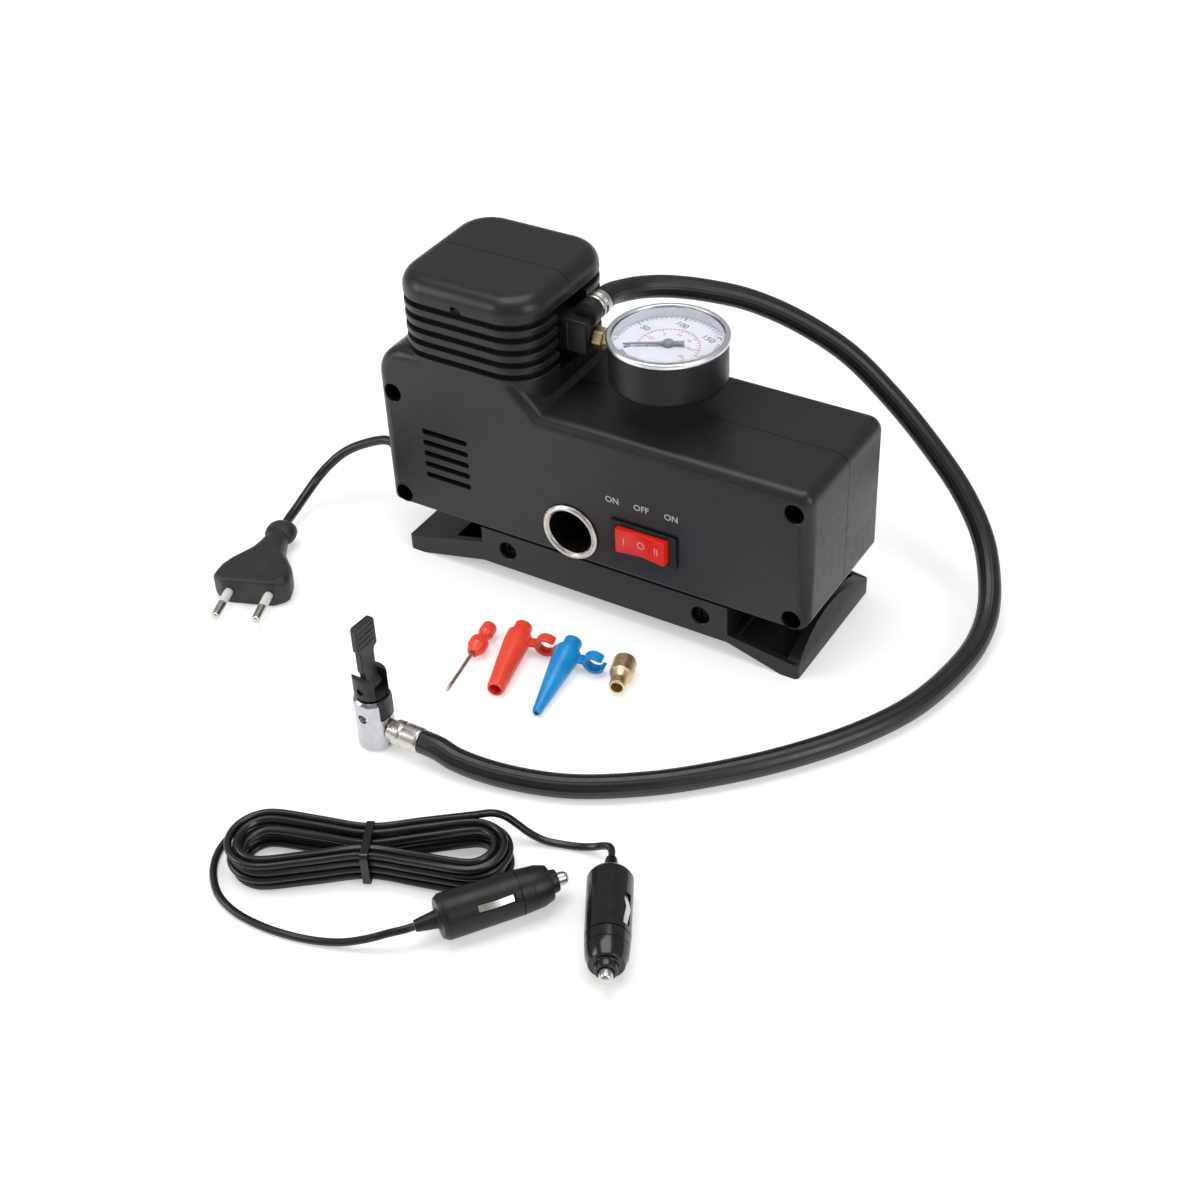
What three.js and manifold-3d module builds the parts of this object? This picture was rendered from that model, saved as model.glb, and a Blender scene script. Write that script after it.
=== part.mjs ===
// Portable tire inflator: a 12 V piston compressor in a clamshell housing with a dial gauge, an air hose
// with a clip-on chuck, a mains cord, a lead with two 12 V plugs and four loose adapters.
// Millimetres, +Z up. The controls face -Y, the pump tower stands at the -X end, the floor is z = 0.
import * as THREE from 'three';
import { mergeVertices } from 'three/addons/utils/BufferGeometryUtils.js';
import Module from 'manifold-3d';

const wasm = await Module();
wasm.setup();

// ---------------------------------------------------------------- driving dimensions
const GAP = 0.3; // clearance between pieces that touch
const WALL = 2.5;

const HOUSING_LENGTH = 209;
const HOUSING_DEPTH = 69.5;
const HOUSING_BOTTOM = 26;
const HOUSING_TOP = 93;
const HOUSING_CORNER = 6.2;
const HOUSING_BEVEL = 5.5;
const HOUSING_EDGE = 1.5; // the tighter rounding along the housing's lower edge
const SKIRT_HEIGHT = 10;
const PEDESTAL_TOP = 106.3;
const SHOULDER_RADIUS = 15;
const RAMP_BACKSET = 11; // from the tower's right side to the ramp's upper edge

const TOWER_INSET = 11; // from the housing's end to the tower
const TOWER_SIZE = 69.5;
const TOWER_CORNER = 17;
const FIN_COUNT = 4;
const FIN_THICKNESS = 3.15;
const FIN_GROOVE = 2.7;
const FIN_DEPTH = 3.5;
const CAP_HEIGHT = 10.6;
const CAP_ROUND = 8;
const CATCH_WIDTH = 5;
const CATCH_HEIGHT = 3;

const SCREW_INSET_X = 7.6;
const SCREW_INSET_TOP = 9.5;
const SCREW_INSET_BOTTOM = 4.5;
const SCREW_SHANK_RADIUS = 1.75;
const SCREW_HEAD_RADIUS = 3.8;
const SCREW_HEAD_HEIGHT = 2.6;
const SCREW_LENGTH = 24;
const BOSS_RADIUS = 5.2;
const SCREW_RECESS = 18;

const VENT_COUNT = 5;
const VENT_PITCH = 5.65;
const VENT_HEIGHT = 2.7;
const VENT_LENGTH = 23.5;
const VENT_OFFSET = 12.25; // left of the tower's middle
const VENT_Z = 57;

const BASE_LEFT_INSET = 7.5; // from the housing's ends to the base's
const BASE_RIGHT_INSET = 3.5;
const BASE_BLOCK_LEFT = 55.7;
const BASE_BLOCK_RIGHT = 67.7;
const BASE_ARCH_HEIGHT = 7.5;
const BASE_FOOT_LENGTH = 8;
const BASE_TIP_HEIGHT = 7;
const BASE_LEFT_SHOULDER = 17.5;
const BASE_RIGHT_SHOULDER = 11.5;
const BASE_HUMP_HEIGHT = 15;
const BASE_SLOPE = 3; // run of the sloping face outside the hump
const BASE_RIM = 3;
const TRAY_FLOOR = 2;
const LEFT_TRAY_LENGTH = 13.3;
const LEFT_TRAY_END_Z = 6.5;
const RIGHT_TRAY_END_Z = 4.5;
const BASE_SCREW_LEFT = 42.3;
const BASE_SCREW_RIGHT = 54.6;
const BASE_SCREW_Z = 17;
const BASE_SCREW_RECESS = 5;
const BASE_SCREW_LENGTH = 12;
const LUG_SIZE = 11;

const OUTLET_X = -8.1;
const OUTLET_Z = 39.6;
const OUTLET_BORE_RADIUS = 10.5;
const OUTLET_FLANGE_RADIUS = 13.5;
const OUTLET_DEPTH = 40;
const OUTLET_METAL = 0.8;
const OUTLET_PLUG_DEPTH = 3;
const CONTACT_RADIUS = 2.1;

const SWITCH_X = 28.3;
const SWITCH_Z = 46.2;
const SWITCH_WIDTH = 32;
const SWITCH_HEIGHT = 16;
const SWITCH_OPENING = 29; // the slot in the housing behind the bezel's lip
const SWITCH_SLOT = 14.8;
const ROCKER_WIDTH = 25.2;
const ROCKER_HEIGHT = 11.8;
const ROCKER_RISE = 4.4;
const ROCKER_PIN_RADIUS = 0.9;
const ROCKER_PIVOT_Y = 3;
const ROCKER_KEEL = 4;
const SWITCH_DEPTH = 18;
const BEZEL_PROUD = 1.6;

const MOTOR_RADIUS = 18;
const MOTOR_LENGTH = 57;
const MOTOR_Z = 71.5;
const MOTOR_WALL = 1.4;
const SHAFT_RADIUS = 1.6;
const FAN_RADIUS = 15;
const FAN_START = 3.5; // behind the motor's rear end
const TERMINAL_REACH = 3;
const TERMINAL_WIDTH = 3.2;
const TERMINAL_DROP = 12;
const TERMINAL_Y = 6;
const MOTOR_NOSE = 6;
const ARMATURE_RADIUS = 14;
const COMMUTATOR_RADIUS = 5;
const ARMATURE_BACKSET = 20; // from the motor's rear end to the end of the windings
const FAN_WIDTH = 6;
const FAN_BLADES = 6;

const GEAR_MODULE = 0.9;
const GEAR_TEETH = 40;
const PINION_TEETH = 8;
const GEAR_WIDTH = 5;
const FRAME_PLATE = 3;
const FRAME_WIDTH = 42;
const FRAME_MARGIN = 5; // round the cylinder
const GUSSET_THICKNESS = 2;
const FRAME_GAP = 12.75; // from the connecting rod's centre to the frame's plate
const AXLE_RADIUS = 2.9;
const CRANK_RADIUS = 4.5;
const CRANK_PIN_RADIUS = 2;
const ROD_LENGTH = 38;
const ROD_THICKNESS = 5;
const ROD_HALF_WIDTH = 2.4;
const ROD_EYE_RADIUS = 3.2;
const BORE_RADIUS = 10;
const CYLINDER_WALL = 3;
const PISTON_CLEARANCE = 0.2;
const PISTON_CROWN = 2.2;
const PISTON_SKIRT = 5;
const PISTON_POCKET = 13.2; // from the gudgeon axis up to the crown's underside
const PISTON_WALL = 1.4;
const GUDGEON_RADIUS = 1.5;
const SEAL_HEIGHT = 1.6;
const SEAL_DEPTH = 1.1;
const SHELF_DROP = 25.5; // from the valve plate down to the frame's shelf
const SHELF_THICKNESS = 3;
const HEAD_SIZE = 29;
const HEAD_HEIGHT = 13;
const HEAD_CORNER = 3;
const HEAD_SLOT = 2;
const HEAD_SLOT_PITCH = 6;
const CHAMBER_RADIUS = 7;
const PORT_RADIUS = 1.6;
const PORT_SHIFT = 4;
const DELIVERY_RADIUS = 2;
const VALVE_PLATE_HEIGHT = 2;
const COOLING_FINS = 2;

const GAUGE_OFFSET = 45.7; // from the tower's right side to the gauge's middle
const GAUGE_CASE_RADIUS = 25;
const GAUGE_BOTTOM = 105;
const GAUGE_CASE_HEIGHT = 19.6;
const GAUGE_WALL = 1.5;
const GAUGE_RIM_RADIUS = 25.7;
const GAUGE_RIM_HEIGHT = 2.1;
const GAUGE_ZERO = 207.4; // heading of the dial's zero and the resting needle, in degrees
const DIAL_THICKNESS = 0.8;
const CASE_FLOOR = 2;
const GAUGE_LENS_THICKNESS = 1;
const GAUGE_DIAL_DROP = 5;
const NEEDLE_LENGTH = 18.5;
const STAFF_RADIUS = 0.8;
const STEM_Z = 116;
const STEM_RADIUS = 3;
const STEM_HEX_RADIUS = 5;

const BLOCK_REACH = 11; // right of the tower
const BLOCK_FRONT_Y = -8;
const BLOCK_BACK_Y = 3.5;
const BLOCK_HEIGHT = 15.5;
const OPENING_HALF = 11.5;
const OPENING_HEIGHT = 27;

const HOSE_RADIUS = 4.9;
const HOSE_SIDES = 10;
const FERRULE_RADIUS = 5.4;
const FERRULE_NECK = 4.4;
const FERRULE_GROOVE = 0.6;
const COUPLING_LENGTH = 7.5;
const COUPLING_OFFSET = 8; // right of the tower
const COUPLING_Z = 127;

const CHUCK_X = -32;
const CHUCK_Y = -149;
const CHUCK_RADIUS = 7.9;
const CHUCK_HEIGHT = 25;
const CHUCK_BORE_RADIUS = 4.3;
const CHUCK_BORE_DEPTH = 13;
const CHUCK_HOSE_Z = 9;
const CHUCK_FERRULE_LENGTH = 15.5;
const CHUCK_FLAT = 0.6;
const FLAT_SIZE = 13;
const TONGUE_X = 5.4; // the collar's tongue fills a slot in the chuck's hose side
const TONGUE_WIDTH = 9;
const TONGUE_Z = 15.8;
const COLLAR_RADIUS = 7;
const COLLAR_HEIGHT = 11;
const LEVER_STEM = 8;
const LEVER_PADDLE = 12;
const LEVER_THICKNESS = 3;
const LEVER_REACH = 31.5;
const LEVER_PIVOT_RISE = 5.2;
const LEVER_PIN_RADIUS = 1.4;
const VALVE_HOLE_RADIUS = 2.1;
const VALVE_HOLE_Z = 17;

const MAINS_RADIUS = 2.2;
const GLAND_Y = -10;
const GLAND_Z = 36.4;
const GLAND_LENGTH = 16.5;
const GLAND_NECK_RADIUS = 3.6;
const GLAND_FLANGE_RADIUS = 4.8;
const GLAND_FLANGE = 2; // thickness of the flange that holds it behind the wall
const PLUG_HALF_HEIGHT = 6.8;
const PLUG_WIDTH = 35.3;
const PLUG_FACE = 25;
const PLUG_LENGTH = 51;
const PLUG_NECK = 5;
const PLUG_KNOB_RADIUS = 5.2;
const PLUG_KNOB_STRETCH = 1.42; // how much wider than high the knob at the neck is
const PLUG_KNOB_X = 5.2;
const PIN_SPACING = 18.6;
const PIN_RADIUS = 2;
const PIN_LENGTH = 18.5;
const PIN_SEAT = 6;

const LEAD_RADIUS = 1.5;
const LEAD_PITCH = 3.6; // between neighbouring turns of the hank
const HANK_X = 8;
const HANK_Y = -208.3;
const HANK_HEADING = 27.3; // degrees from +X
const HANK_HALF_LENGTH = 54;
const HANK_HALF_WIDTH = 15.2;
const HANK_WAIST = 6.8;
const HANK_LAYERS = 4;
const LAYER_TURNS = 2;
const HANK_BOTTOM = 0.9;
const RUN_STEPS = 4; // points along a straight run and round an end of the hank
const END_STEPS = 8;
const TIE_THICKNESS = 0.5;
const TIE_WIDTH = 3;
const DC_PLUG_RADIUS = 8.8;
const DC_PLUG_BODY = 43;
const DC_RELIEF_LENGTH = 9;
const DC_NOSE_LENGTH = 3;
const DC_TIP_RADIUS = 2.6;
const DC_TIP_LENGTH = 4.5;
const DC_TIP_TRAVEL = 2.5;

const NEEDLE_HEAD_RADIUS = 4.2;
const NEEDLE_KNOB_RADIUS = 3.4;
const NEEDLE_HEAD_LENGTH = 20;
const NEEDLE_SEAT = 6;
const NEEDLE_TUBE_RADIUS = 0.9;
const NEEDLE_TUBE_LENGTH = 26;
const NEEDLE_START = [-29.3, -69.4];
const NEEDLE_HEADING = -80.3;
const NOZZLE_RADIUS = 5.6;
const NOZZLE_NECK_RADIUS = 4;
const NOZZLE_NECK = 5;
const NOZZLE_SHOULDER = 11;
const NOZZLE_BORE = 2.4;
const NOZZLE_WALL = 1.1;
const RED_NOZZLE = { length: 40, tipRadius: 3.8 };
const BLUE_NOZZLE = { length: 43, tipRadius: 2 };
const CLIP_RADIUS = 4.9;
const CLIP_THICKNESS = 1.6;
const CLIP_WIDTH = 4.5;
const CLIP_Y = 13;
const CLIP_X = 9;
const ADAPTER_LENGTH = 17.5;
const ADAPTER_RADIUS = 5;
const ADAPTER_NOSE = 3.5;
const ADAPTER_BORE = 2.5;

const ADAPTER_PLACE = [34.6, -63.2];
const ADAPTER_HEADING = -72;
const RED_NOZZLE_PLACE = [-14.8, -65.5];
const RED_NOZZLE_HEADING = -75;
const BLUE_NOZZLE_PLACE = [9.8, -64.5];
const BLUE_NOZZLE_HEADING = -80;
const MAINS_PLUG_PLACE = [-152.5, -56.45];
const MAINS_PLUG_HEADING = -69.9;
const DC_PLUG_PLACES = [[45.1, -231.1, 53.3], [90, -168, -61.3]]; // x, y and heading

const BOARD_GAP = 6;
const BOARD_THICKNESS = 1.6;
const BOARD_INSET = 5;
const BOARD_LEFT_GAP = 13.7; // from the motor's rear end
const BOARD_RIGHT_GAP = 14.5; // from the housing's end
const BOARD_POST_RADIUS = 3;
const TRANSFORMER_SIZE = [26, 24, 24];
const TRANSFORMER_PLACE = [23, 14.5]; // from the board's right end and its lower edge
const HEAT_SINK_SIZE = [4, 18, 32];
const HEAT_SINK_PLACE = [12, 30.5]; // from the board's left end and its lower edge
const CAPACITOR_RADIUS = 6.5;
const CAPACITOR_HEIGHT = 22;
const CAPACITOR_PLACE = [22, 38.5];

const FAR = 500; // beyond every part of the kit
const WHOLE = [-FAR, FAR];
const LIFT = 0.1; // a lying accessory stays this far clear of the floor

// Routes of the free cords, as chosen points: x, y, z.
const MAINS_ROUTE = [
  [-121.2, -10, 36.4], [-125, -10, 36], [-129.2, -10.2, 34.5], [-134.5, -10.9, 32.1], [-141.3, -12.4, 28.6],
  [-148, -15.3, 24], [-153, -19.9, 18.7], [-155.8, -26, 14], [-156.4, -34.4, 10.3], [-155.5, -43.6, 8],
  [-154.2, -51.6, 7], [-152.65, -56.05, 6.9],
];
const LEAD_1_ROUTE = [
  [-17.9, -207.5, 2.4], [-20.9, -208.5, 2.4], [-27, -209, 2], [-33.5, -208.4, 1.6], [-40.3, -209.9, 1.6],
  [-46, -214.4, 1.6], [-48.4, -221.2, 1.6], [-47.9, -229, 1.6], [-45, -236.4, 1.6], [-40, -243, 1.6],
  [-32.5, -248.9, 1.6], [-22.5, -252.4, 1.6], [-11, -253.3, 1.6], [0.5, -252.3, 1.6], [12.5, -249.6, 1.8],
  [23, -246, 3], [32, -241.6, 5.6], [38.4, -237.6, 8], [42.89, -234.07, 8.9], [44.92, -231.34, 8.9],
];
const LEAD_2_ROUTE = [
  [38, -174.7, 13.2], [40.5, -172.8, 13.2], [44.6, -170.4, 11.4], [49, -169, 8], [53.8, -168, 4.6],
  [59.5, -166.6, 2.2], [66, -164.6, 1.6], [72.8, -162.6, 1.9], [78.3, -161.4, 3.5], [82.8, -161.4, 6.2],
  [86.1, -162.6, 8.2], [88.23, -164.76, 8.9], [89.86, -167.74, 8.9],
];

// ---------------------------------------------------------------- places that follow from them
const LENS_SEAT_Z = GAUGE_CASE_HEIGHT + GAP;
const LENS_EDGE_Z = LENS_SEAT_Z + GAUGE_LENS_THICKNESS;
const LENS_RADIUS = GAUGE_CASE_RADIUS - 0.8;
const LENS_TOP_RADIUS = GAUGE_CASE_RADIUS - GAUGE_WALL - 0.5;
const DIAL_Z = GAUGE_CASE_HEIGHT - GAUGE_DIAL_DROP;
const HALF_LENGTH = HOUSING_LENGTH / 2;
const HALF_DEPTH = HOUSING_DEPTH / 2;
const TOWER_X = TOWER_INSET + TOWER_SIZE / 2 - HALF_LENGTH;
const INNER_DEPTH = HALF_DEPTH - WALL;
const FLOOR_Z = HOUSING_BOTTOM + WALL;
const CEILING_Z = HOUSING_TOP - WALL;
const CAP_BOTTOM = PEDESTAL_TOP + FIN_GROOVE * (FIN_COUNT + 1) + FIN_THICKNESS * FIN_COUNT;
const CAP_TOP = CAP_BOTTOM + CAP_HEIGHT;
const TOWER_RIGHT = TOWER_X + TOWER_SIZE / 2;
const GAUGE_X = TOWER_RIGHT + GAUGE_OFFSET;
const BLOCK_END_X = TOWER_RIGHT + BLOCK_REACH;
const COUPLING_X = TOWER_RIGHT + COUPLING_OFFSET;
const RAMP_TOP_X = TOWER_RIGHT - RAMP_BACKSET;
const RAMP_FOOT_X = RAMP_TOP_X + PEDESTAL_TOP - HOUSING_TOP;
const BASE_LEFT_X = BASE_LEFT_INSET - HALF_LENGTH;
const BASE_RIGHT_X = HALF_LENGTH - BASE_RIGHT_INSET;
const GEAR_RADIUS = GEAR_MODULE * GEAR_TEETH / 2;
const PINION_RADIUS = GEAR_MODULE * PINION_TEETH / 2;
const CRANK_Z = MOTOR_Z - GEAR_RADIUS - PINION_RADIUS;
const GUDGEON_Z = CRANK_Z + CRANK_RADIUS + ROD_LENGTH;
const PISTON_TOP = GUDGEON_Z + PISTON_POCKET + PISTON_CROWN;
const VALVE_Z = PISTON_TOP + 1;
const SHELF_Z = VALVE_Z - SHELF_DROP;
const CYLINDER_BOTTOM = GUDGEON_Z - PISTON_SKIRT - 2 * CRANK_RADIUS - 1;
const FRAME_X = TOWER_X + FRAME_GAP;
const GEAR_BACK_X = FRAME_X - WALL;
const MOTOR_X = FRAME_X + FRAME_PLATE + GAP;
const HEAD_Z = VALVE_Z + VALVE_PLATE_HEIGHT + GAP;
const CYLINDER_RADIUS = BORE_RADIUS + CYLINDER_WALL;
const BLOCK_TOP = COUPLING_Z - 1;
const FRONT_Y = -HALF_DEPTH;
const COUPLING_START = BLOCK_BACK_Y + GAP;
const HOSE_ROUTE = [
  [COUPLING_X, 11.3, 127], [COUPLING_X, 16.5, 126.9], [-14.9, 23.5, 125.4], [-10.6, 33, 123.6],
  [-2.6, 42.6, 121.4],
  [10.4, 53, 117.6], [26.5, 64, 111.3], [46, 73.5, 100.8], [66.5, 79.5, 87.6], [87, 81, 70.8],
  [108, 78, 53.8], [128, 70.5, 38.6], [142.5, 60, 26], [151.5, 47, 16.2], [157, 33, 10], [159.3, 16, 6.6],
  [158, -4, 5.4], [151.8, -32, 5.1], [139.3, -58, 5.1], [121, -83.5, 5.1], [101, -105, 5.1],
  [79.5, -123.5, 5.1], [53, -139.5, 5.1], [27, -147, 5.3], [7.5, -149.4, 6.9], [-1.5, -149, 8.7],
  [-8.9, -149, 9],
];
const BLOCK_MIDDLE_Y = (BLOCK_FRONT_Y + BLOCK_BACK_Y) / 2;
const COLLAR_Z = CHUCK_HEIGHT + GAP;
const LEVER_Z = COLLAR_Z + LEVER_PIVOT_RISE;
const DC_BODY_START = DC_RELIEF_LENGTH;
const DC_BODY_END = DC_BODY_START + DC_PLUG_BODY;
const HANK_STRAIGHT = HANK_HALF_LENGTH - HANK_HALF_WIDTH;
const LOOP_STEPS = 2 * (RUN_STEPS + END_STEPS);
const NEEDLE_REACH = NEEDLE_HEAD_LENGTH + NEEDLE_TUBE_LENGTH;
const NEEDLE_TIP_Y = NEEDLE_START[1] + Math.sin(THREE.MathUtils.degToRad(NEEDLE_HEADING)) * NEEDLE_REACH;
const KIT_SHIFT_Y = -(NEEDLE_TIP_Y + HALF_DEPTH) / 2;
const SCREW_X = HALF_LENGTH - SCREW_INSET_X;
const SCREW_TOP_Z = HOUSING_TOP - SCREW_INSET_TOP;
const SCREW_LOW_Z = HOUSING_BOTTOM + SCREW_INSET_BOTTOM;
const SCREW_PLACES = [
  [-SCREW_X, SCREW_TOP_Z], [-SCREW_X, SCREW_LOW_Z], [SCREW_X, SCREW_TOP_Z], [SCREW_X, SCREW_LOW_Z],
];
const BASE_SCREW_PLACES = [[-BASE_SCREW_LEFT, BASE_SCREW_Z], [BASE_SCREW_RIGHT, BASE_SCREW_Z]];
const SCREW_HEAD_Y = FRONT_Y + SCREW_RECESS;
const SCREW_HOLE_RADIUS = SCREW_SHANK_RADIUS + GAP;
const SCREW_WELL_RADIUS = SCREW_HEAD_RADIUS + 0.5;
const BOARD_BACK_Y = INNER_DEPTH - BOARD_GAP;
const BOARD_LEFT_X = MOTOR_X + MOTOR_LENGTH + BOARD_LEFT_GAP;
const BOARD_RIGHT_X = HALF_LENGTH - BOARD_RIGHT_GAP;
const BOARD_LOW_Z = FLOOR_Z + BOARD_INSET;
const BOARD_TOP_Z = CEILING_Z - BOARD_INSET;
const BOARD_POSTS = [
  [BOARD_LEFT_X + BOARD_INSET, BOARD_LOW_Z + BOARD_INSET],
  [BOARD_RIGHT_X - BOARD_INSET, BOARD_LOW_Z + BOARD_INSET],
  [BOARD_LEFT_X + BOARD_INSET, BOARD_TOP_Z - BOARD_INSET],
  [BOARD_RIGHT_X - BOARD_INSET, BOARD_TOP_Z - BOARD_INSET],
];

// ---------------------------------------------------------------- materials
const surface = (settings) => new THREE.MeshStandardMaterial(settings);
const plastic = (color, roughness = 0.55) => surface({ color, roughness, metalness: 0 });
const metal = (color, roughness = 0.25) => surface({ color, roughness, metalness: 1 });
const BLACK_PLASTIC = plastic(0x17181a);
const BLACK_RUBBER = plastic(0x111214, 0.8);
const RED_PLASTIC = plastic(0xe0301e, 0.4);
const BLUE_PLASTIC = plastic(0x0d7fd0, 0.4);
const WHITE_DIAL = plastic(0xf2f3f2, 0.5);
const CLEAR_LENS = surface({ color: 0xffffff, roughness: 0.05, transparent: true, opacity: 0.3 });
const NICKEL = metal(0xc9c6be, 0.25);
const CHROME = metal(0xe8e8ea, 0.08);
const BRASS = metal(0xb58f4a, 0.35);
const STEEL = metal(0x9a9da0, 0.35);
const DARK_STEEL = metal(0x2b2c2e, 0.45);
const ALUMINIUM = metal(0xb9bbbd, 0.45);
const NYLON = plastic(0xe6e2d6, 0.5);
const BOARD = plastic(0x1d5a34, 0.6);

// ---------------------------------------------------------------- geometry helpers
function signedVolume(position, index) {
  let total = 0;
  const corner = [new THREE.Vector3(), new THREE.Vector3(), new THREE.Vector3()];
  for (let i = 0; i < index.length; i += 3) {
    corner.forEach((point, k) => point.fromArray(position, 3 * index[i + k]));
    total += corner[0].dot(corner[1].clone().cross(corner[2])) / 6;
  }
  return total;
}

// A closed geometry as a solid: shared corners merged, empty triangles dropped, faces out.
function asSolid(shape) {
  if (shape instanceof wasm.Manifold) return shape;
  const bare = shape.clone();
  ['normal', 'uv'].forEach((name) => bare.deleteAttribute(name));
  const merged = mergeVertices(bare, 1e-4);
  const position = new Float32Array(merged.attributes.position.array);
  const kept = [];
  const source = merged.index.array;
  for (let i = 0; i < source.length; i += 3) {
    const [a, b, c] = [source[i], source[i + 1], source[i + 2]];
    if (a !== b && b !== c && c !== a) kept.push(a, b, c);
  }
  if (signedVolume(position, kept) < 0) kept.reverse();
  const triVerts = new Uint32Array(kept);
  return new wasm.Manifold(new wasm.Mesh({ numProp: 3, vertProperties: position, triVerts }));
}

function asGeometry(shape) {
  const mesh = asSolid(shape).getMesh();
  const geometry = new THREE.BufferGeometry();
  geometry.setAttribute('position', new THREE.BufferAttribute(mesh.vertProperties, 3));
  geometry.setIndex(new THREE.BufferAttribute(mesh.triVerts, 1));
  geometry.computeVertexNormals();
  return geometry;
}

const join = (...shapes) => shapes.map(asSolid).reduce((sum, shape) => sum.add(shape));
const cut = (shape, ...tools) => tools.reduce((rest, tool) => rest.subtract(asSolid(tool)), asSolid(shape));
const common = (shape, tool) => asSolid(shape).intersect(asSolid(tool));

function box(x, y, z) {
  const geometry = new THREE.BoxGeometry(x[1] - x[0], y[1] - y[0], z[1] - z[0]);
  return geometry.translate((x[0] + x[1]) / 2, (y[0] + y[1]) / 2, (z[0] + z[1]) / 2);
}

const around = (centre, size) => [centre - size / 2, centre + size / 2];

// Turns a geometry made along +Y so that it runs along a direction from a start point.
function aim(geometry, start, direction) {
  const turn = new THREE.Quaternion();
  turn.setFromUnitVectors(new THREE.Vector3(0, 1, 0), new THREE.Vector3(...direction).normalize());
  geometry.applyQuaternion(turn);
  return geometry.translate(...start);
}

function rod(radius, length, start, direction, sides = 20, endRadius = radius) {
  const geometry = new THREE.CylinderGeometry(endRadius, radius, length, sides);
  return aim(geometry.translate(0, length / 2, 0), start, direction);
}

// A turned part: its profile holds [radius, height] pairs along the direction.
function turned(profile, start = [0, 0, 0], direction = [0, 0, 1], sides = 32) {
  const points = profile.map(([radius, height]) => new THREE.Vector2(radius, height));
  return aim(new THREE.LatheGeometry(points, sides), start, direction);
}

function ring(inner, outer, low, high, start, direction, sides) {
  const profile = [[inner, low], [outer, low], [outer, high], [inner, high], [inner, low]];
  return turned(profile, start, direction, sides);
}

// A shape drawn as x and z, given depth along y.
function plateXZ(shape, front, back, bevel = 0) {
  const geometry = new THREE.ExtrudeGeometry(shape, {
    depth: back - front - 2 * bevel,
    bevelEnabled: bevel > 0,
    bevelThickness: bevel,
    bevelSize: bevel,
    bevelOffset: -bevel,
    bevelSegments: 2,
    curveSegments: 2,
  });
  return geometry.rotateX(Math.PI / 2).translate(0, back - bevel, 0);
}

// A shape drawn as x and y, raised along z, with its upper edge rounded if a bevel is given.
function plateXY(shape, low, high, bevel = 0) {
  const geometry = new THREE.ExtrudeGeometry(shape, {
    depth: high - low - bevel,
    bevelEnabled: bevel > 0,
    bevelThickness: bevel,
    bevelSize: bevel,
    bevelOffset: -bevel,
    bevelSegments: 3,
    curveSegments: 2,
  });
  geometry.translate(0, 0, low);
  if (bevel === 0) return geometry;
  return cut(geometry, box(WHOLE, WHOLE, [low - bevel - 1, low]));
}

function outline(points) {
  return new THREE.Shape(points.map(([x, y]) => new THREE.Vector2(x, y)));
}

function roundedRectangle(halfX, halfY, radius, centreX = 0, centreY = 0) {
  const shape = new THREE.Shape();
  const [left, right] = [centreX - halfX + radius, centreX + halfX - radius];
  const [low, high] = [centreY - halfY + radius, centreY + halfY - radius];
  shape.absarc(right, high, radius, 0, Math.PI / 2);
  shape.absarc(left, high, radius, Math.PI / 2, Math.PI);
  shape.absarc(left, low, radius, Math.PI, 1.5 * Math.PI);
  shape.absarc(right, low, radius, 1.5 * Math.PI, 2 * Math.PI);
  return shape;
}

function routeCurve(route) {
  return new THREE.CatmullRomCurve3(route.map((point) => new THREE.Vector3(...point)), false, 'centripetal');
}

// A tube of constant section along a cord's chosen points.
function cordTube(route, radius, sides, stepLength) {
  const curve = routeCurve(route);
  const steps = Math.ceil(curve.getLength() / stepLength);
  const section = new THREE.Shape();
  section.absarc(0, 0, radius, 0, 2 * Math.PI);
  const settings = { steps, bevelEnabled: false, extrudePath: curve, curveSegments: sides / 2 };
  return new THREE.ExtrudeGeometry(section, settings);
}

function add(group, name, shape, material) {
  const mesh = new THREE.Mesh(asGeometry(shape), material);
  mesh.name = name;
  group.add(mesh);
  return mesh;
}

function addGroup(parent, position = [0, 0, 0], turn = [0, 0, 0]) {
  const group = new THREE.Group();
  group.position.set(...position);
  group.rotation.set(...turn);
  parent.add(group);
  return group;
}

const turnZ = (degrees) => [0, 0, THREE.MathUtils.degToRad(degrees)];

// ---------------------------------------------------------------- housing
function bodyOutline(inset) {
  const shape = new THREE.Shape();
  const corner = HOUSING_CORNER - inset;
  const side = HALF_LENGTH - inset;
  const low = HOUSING_BOTTOM + inset;
  const top = HOUSING_TOP - inset;
  const high = PEDESTAL_TOP - inset;
  const shoulder = SHOULDER_RADIUS - inset;
  const rampShift = inset * Math.tan(Math.PI / 8);
  shape.absarc(side - corner, low + corner, corner, 1.5 * Math.PI, 2 * Math.PI);
  shape.absarc(side - corner, top - corner, corner, 0, Math.PI / 2);
  shape.lineTo(RAMP_FOOT_X - rampShift, top);
  shape.lineTo(RAMP_TOP_X - rampShift, high);
  shape.absarc(-side + shoulder, high - shoulder, shoulder, Math.PI / 2, Math.PI);
  shape.absarc(-side + corner, low + corner, corner, Math.PI, 1.5 * Math.PI);
  return shape;
}

function towerPlan(inset) {
  const half = TOWER_SIZE / 2 - inset;
  return roundedRectangle(half, half * HOUSING_DEPTH / TOWER_SIZE, TOWER_CORNER - inset, TOWER_X);
}

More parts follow.
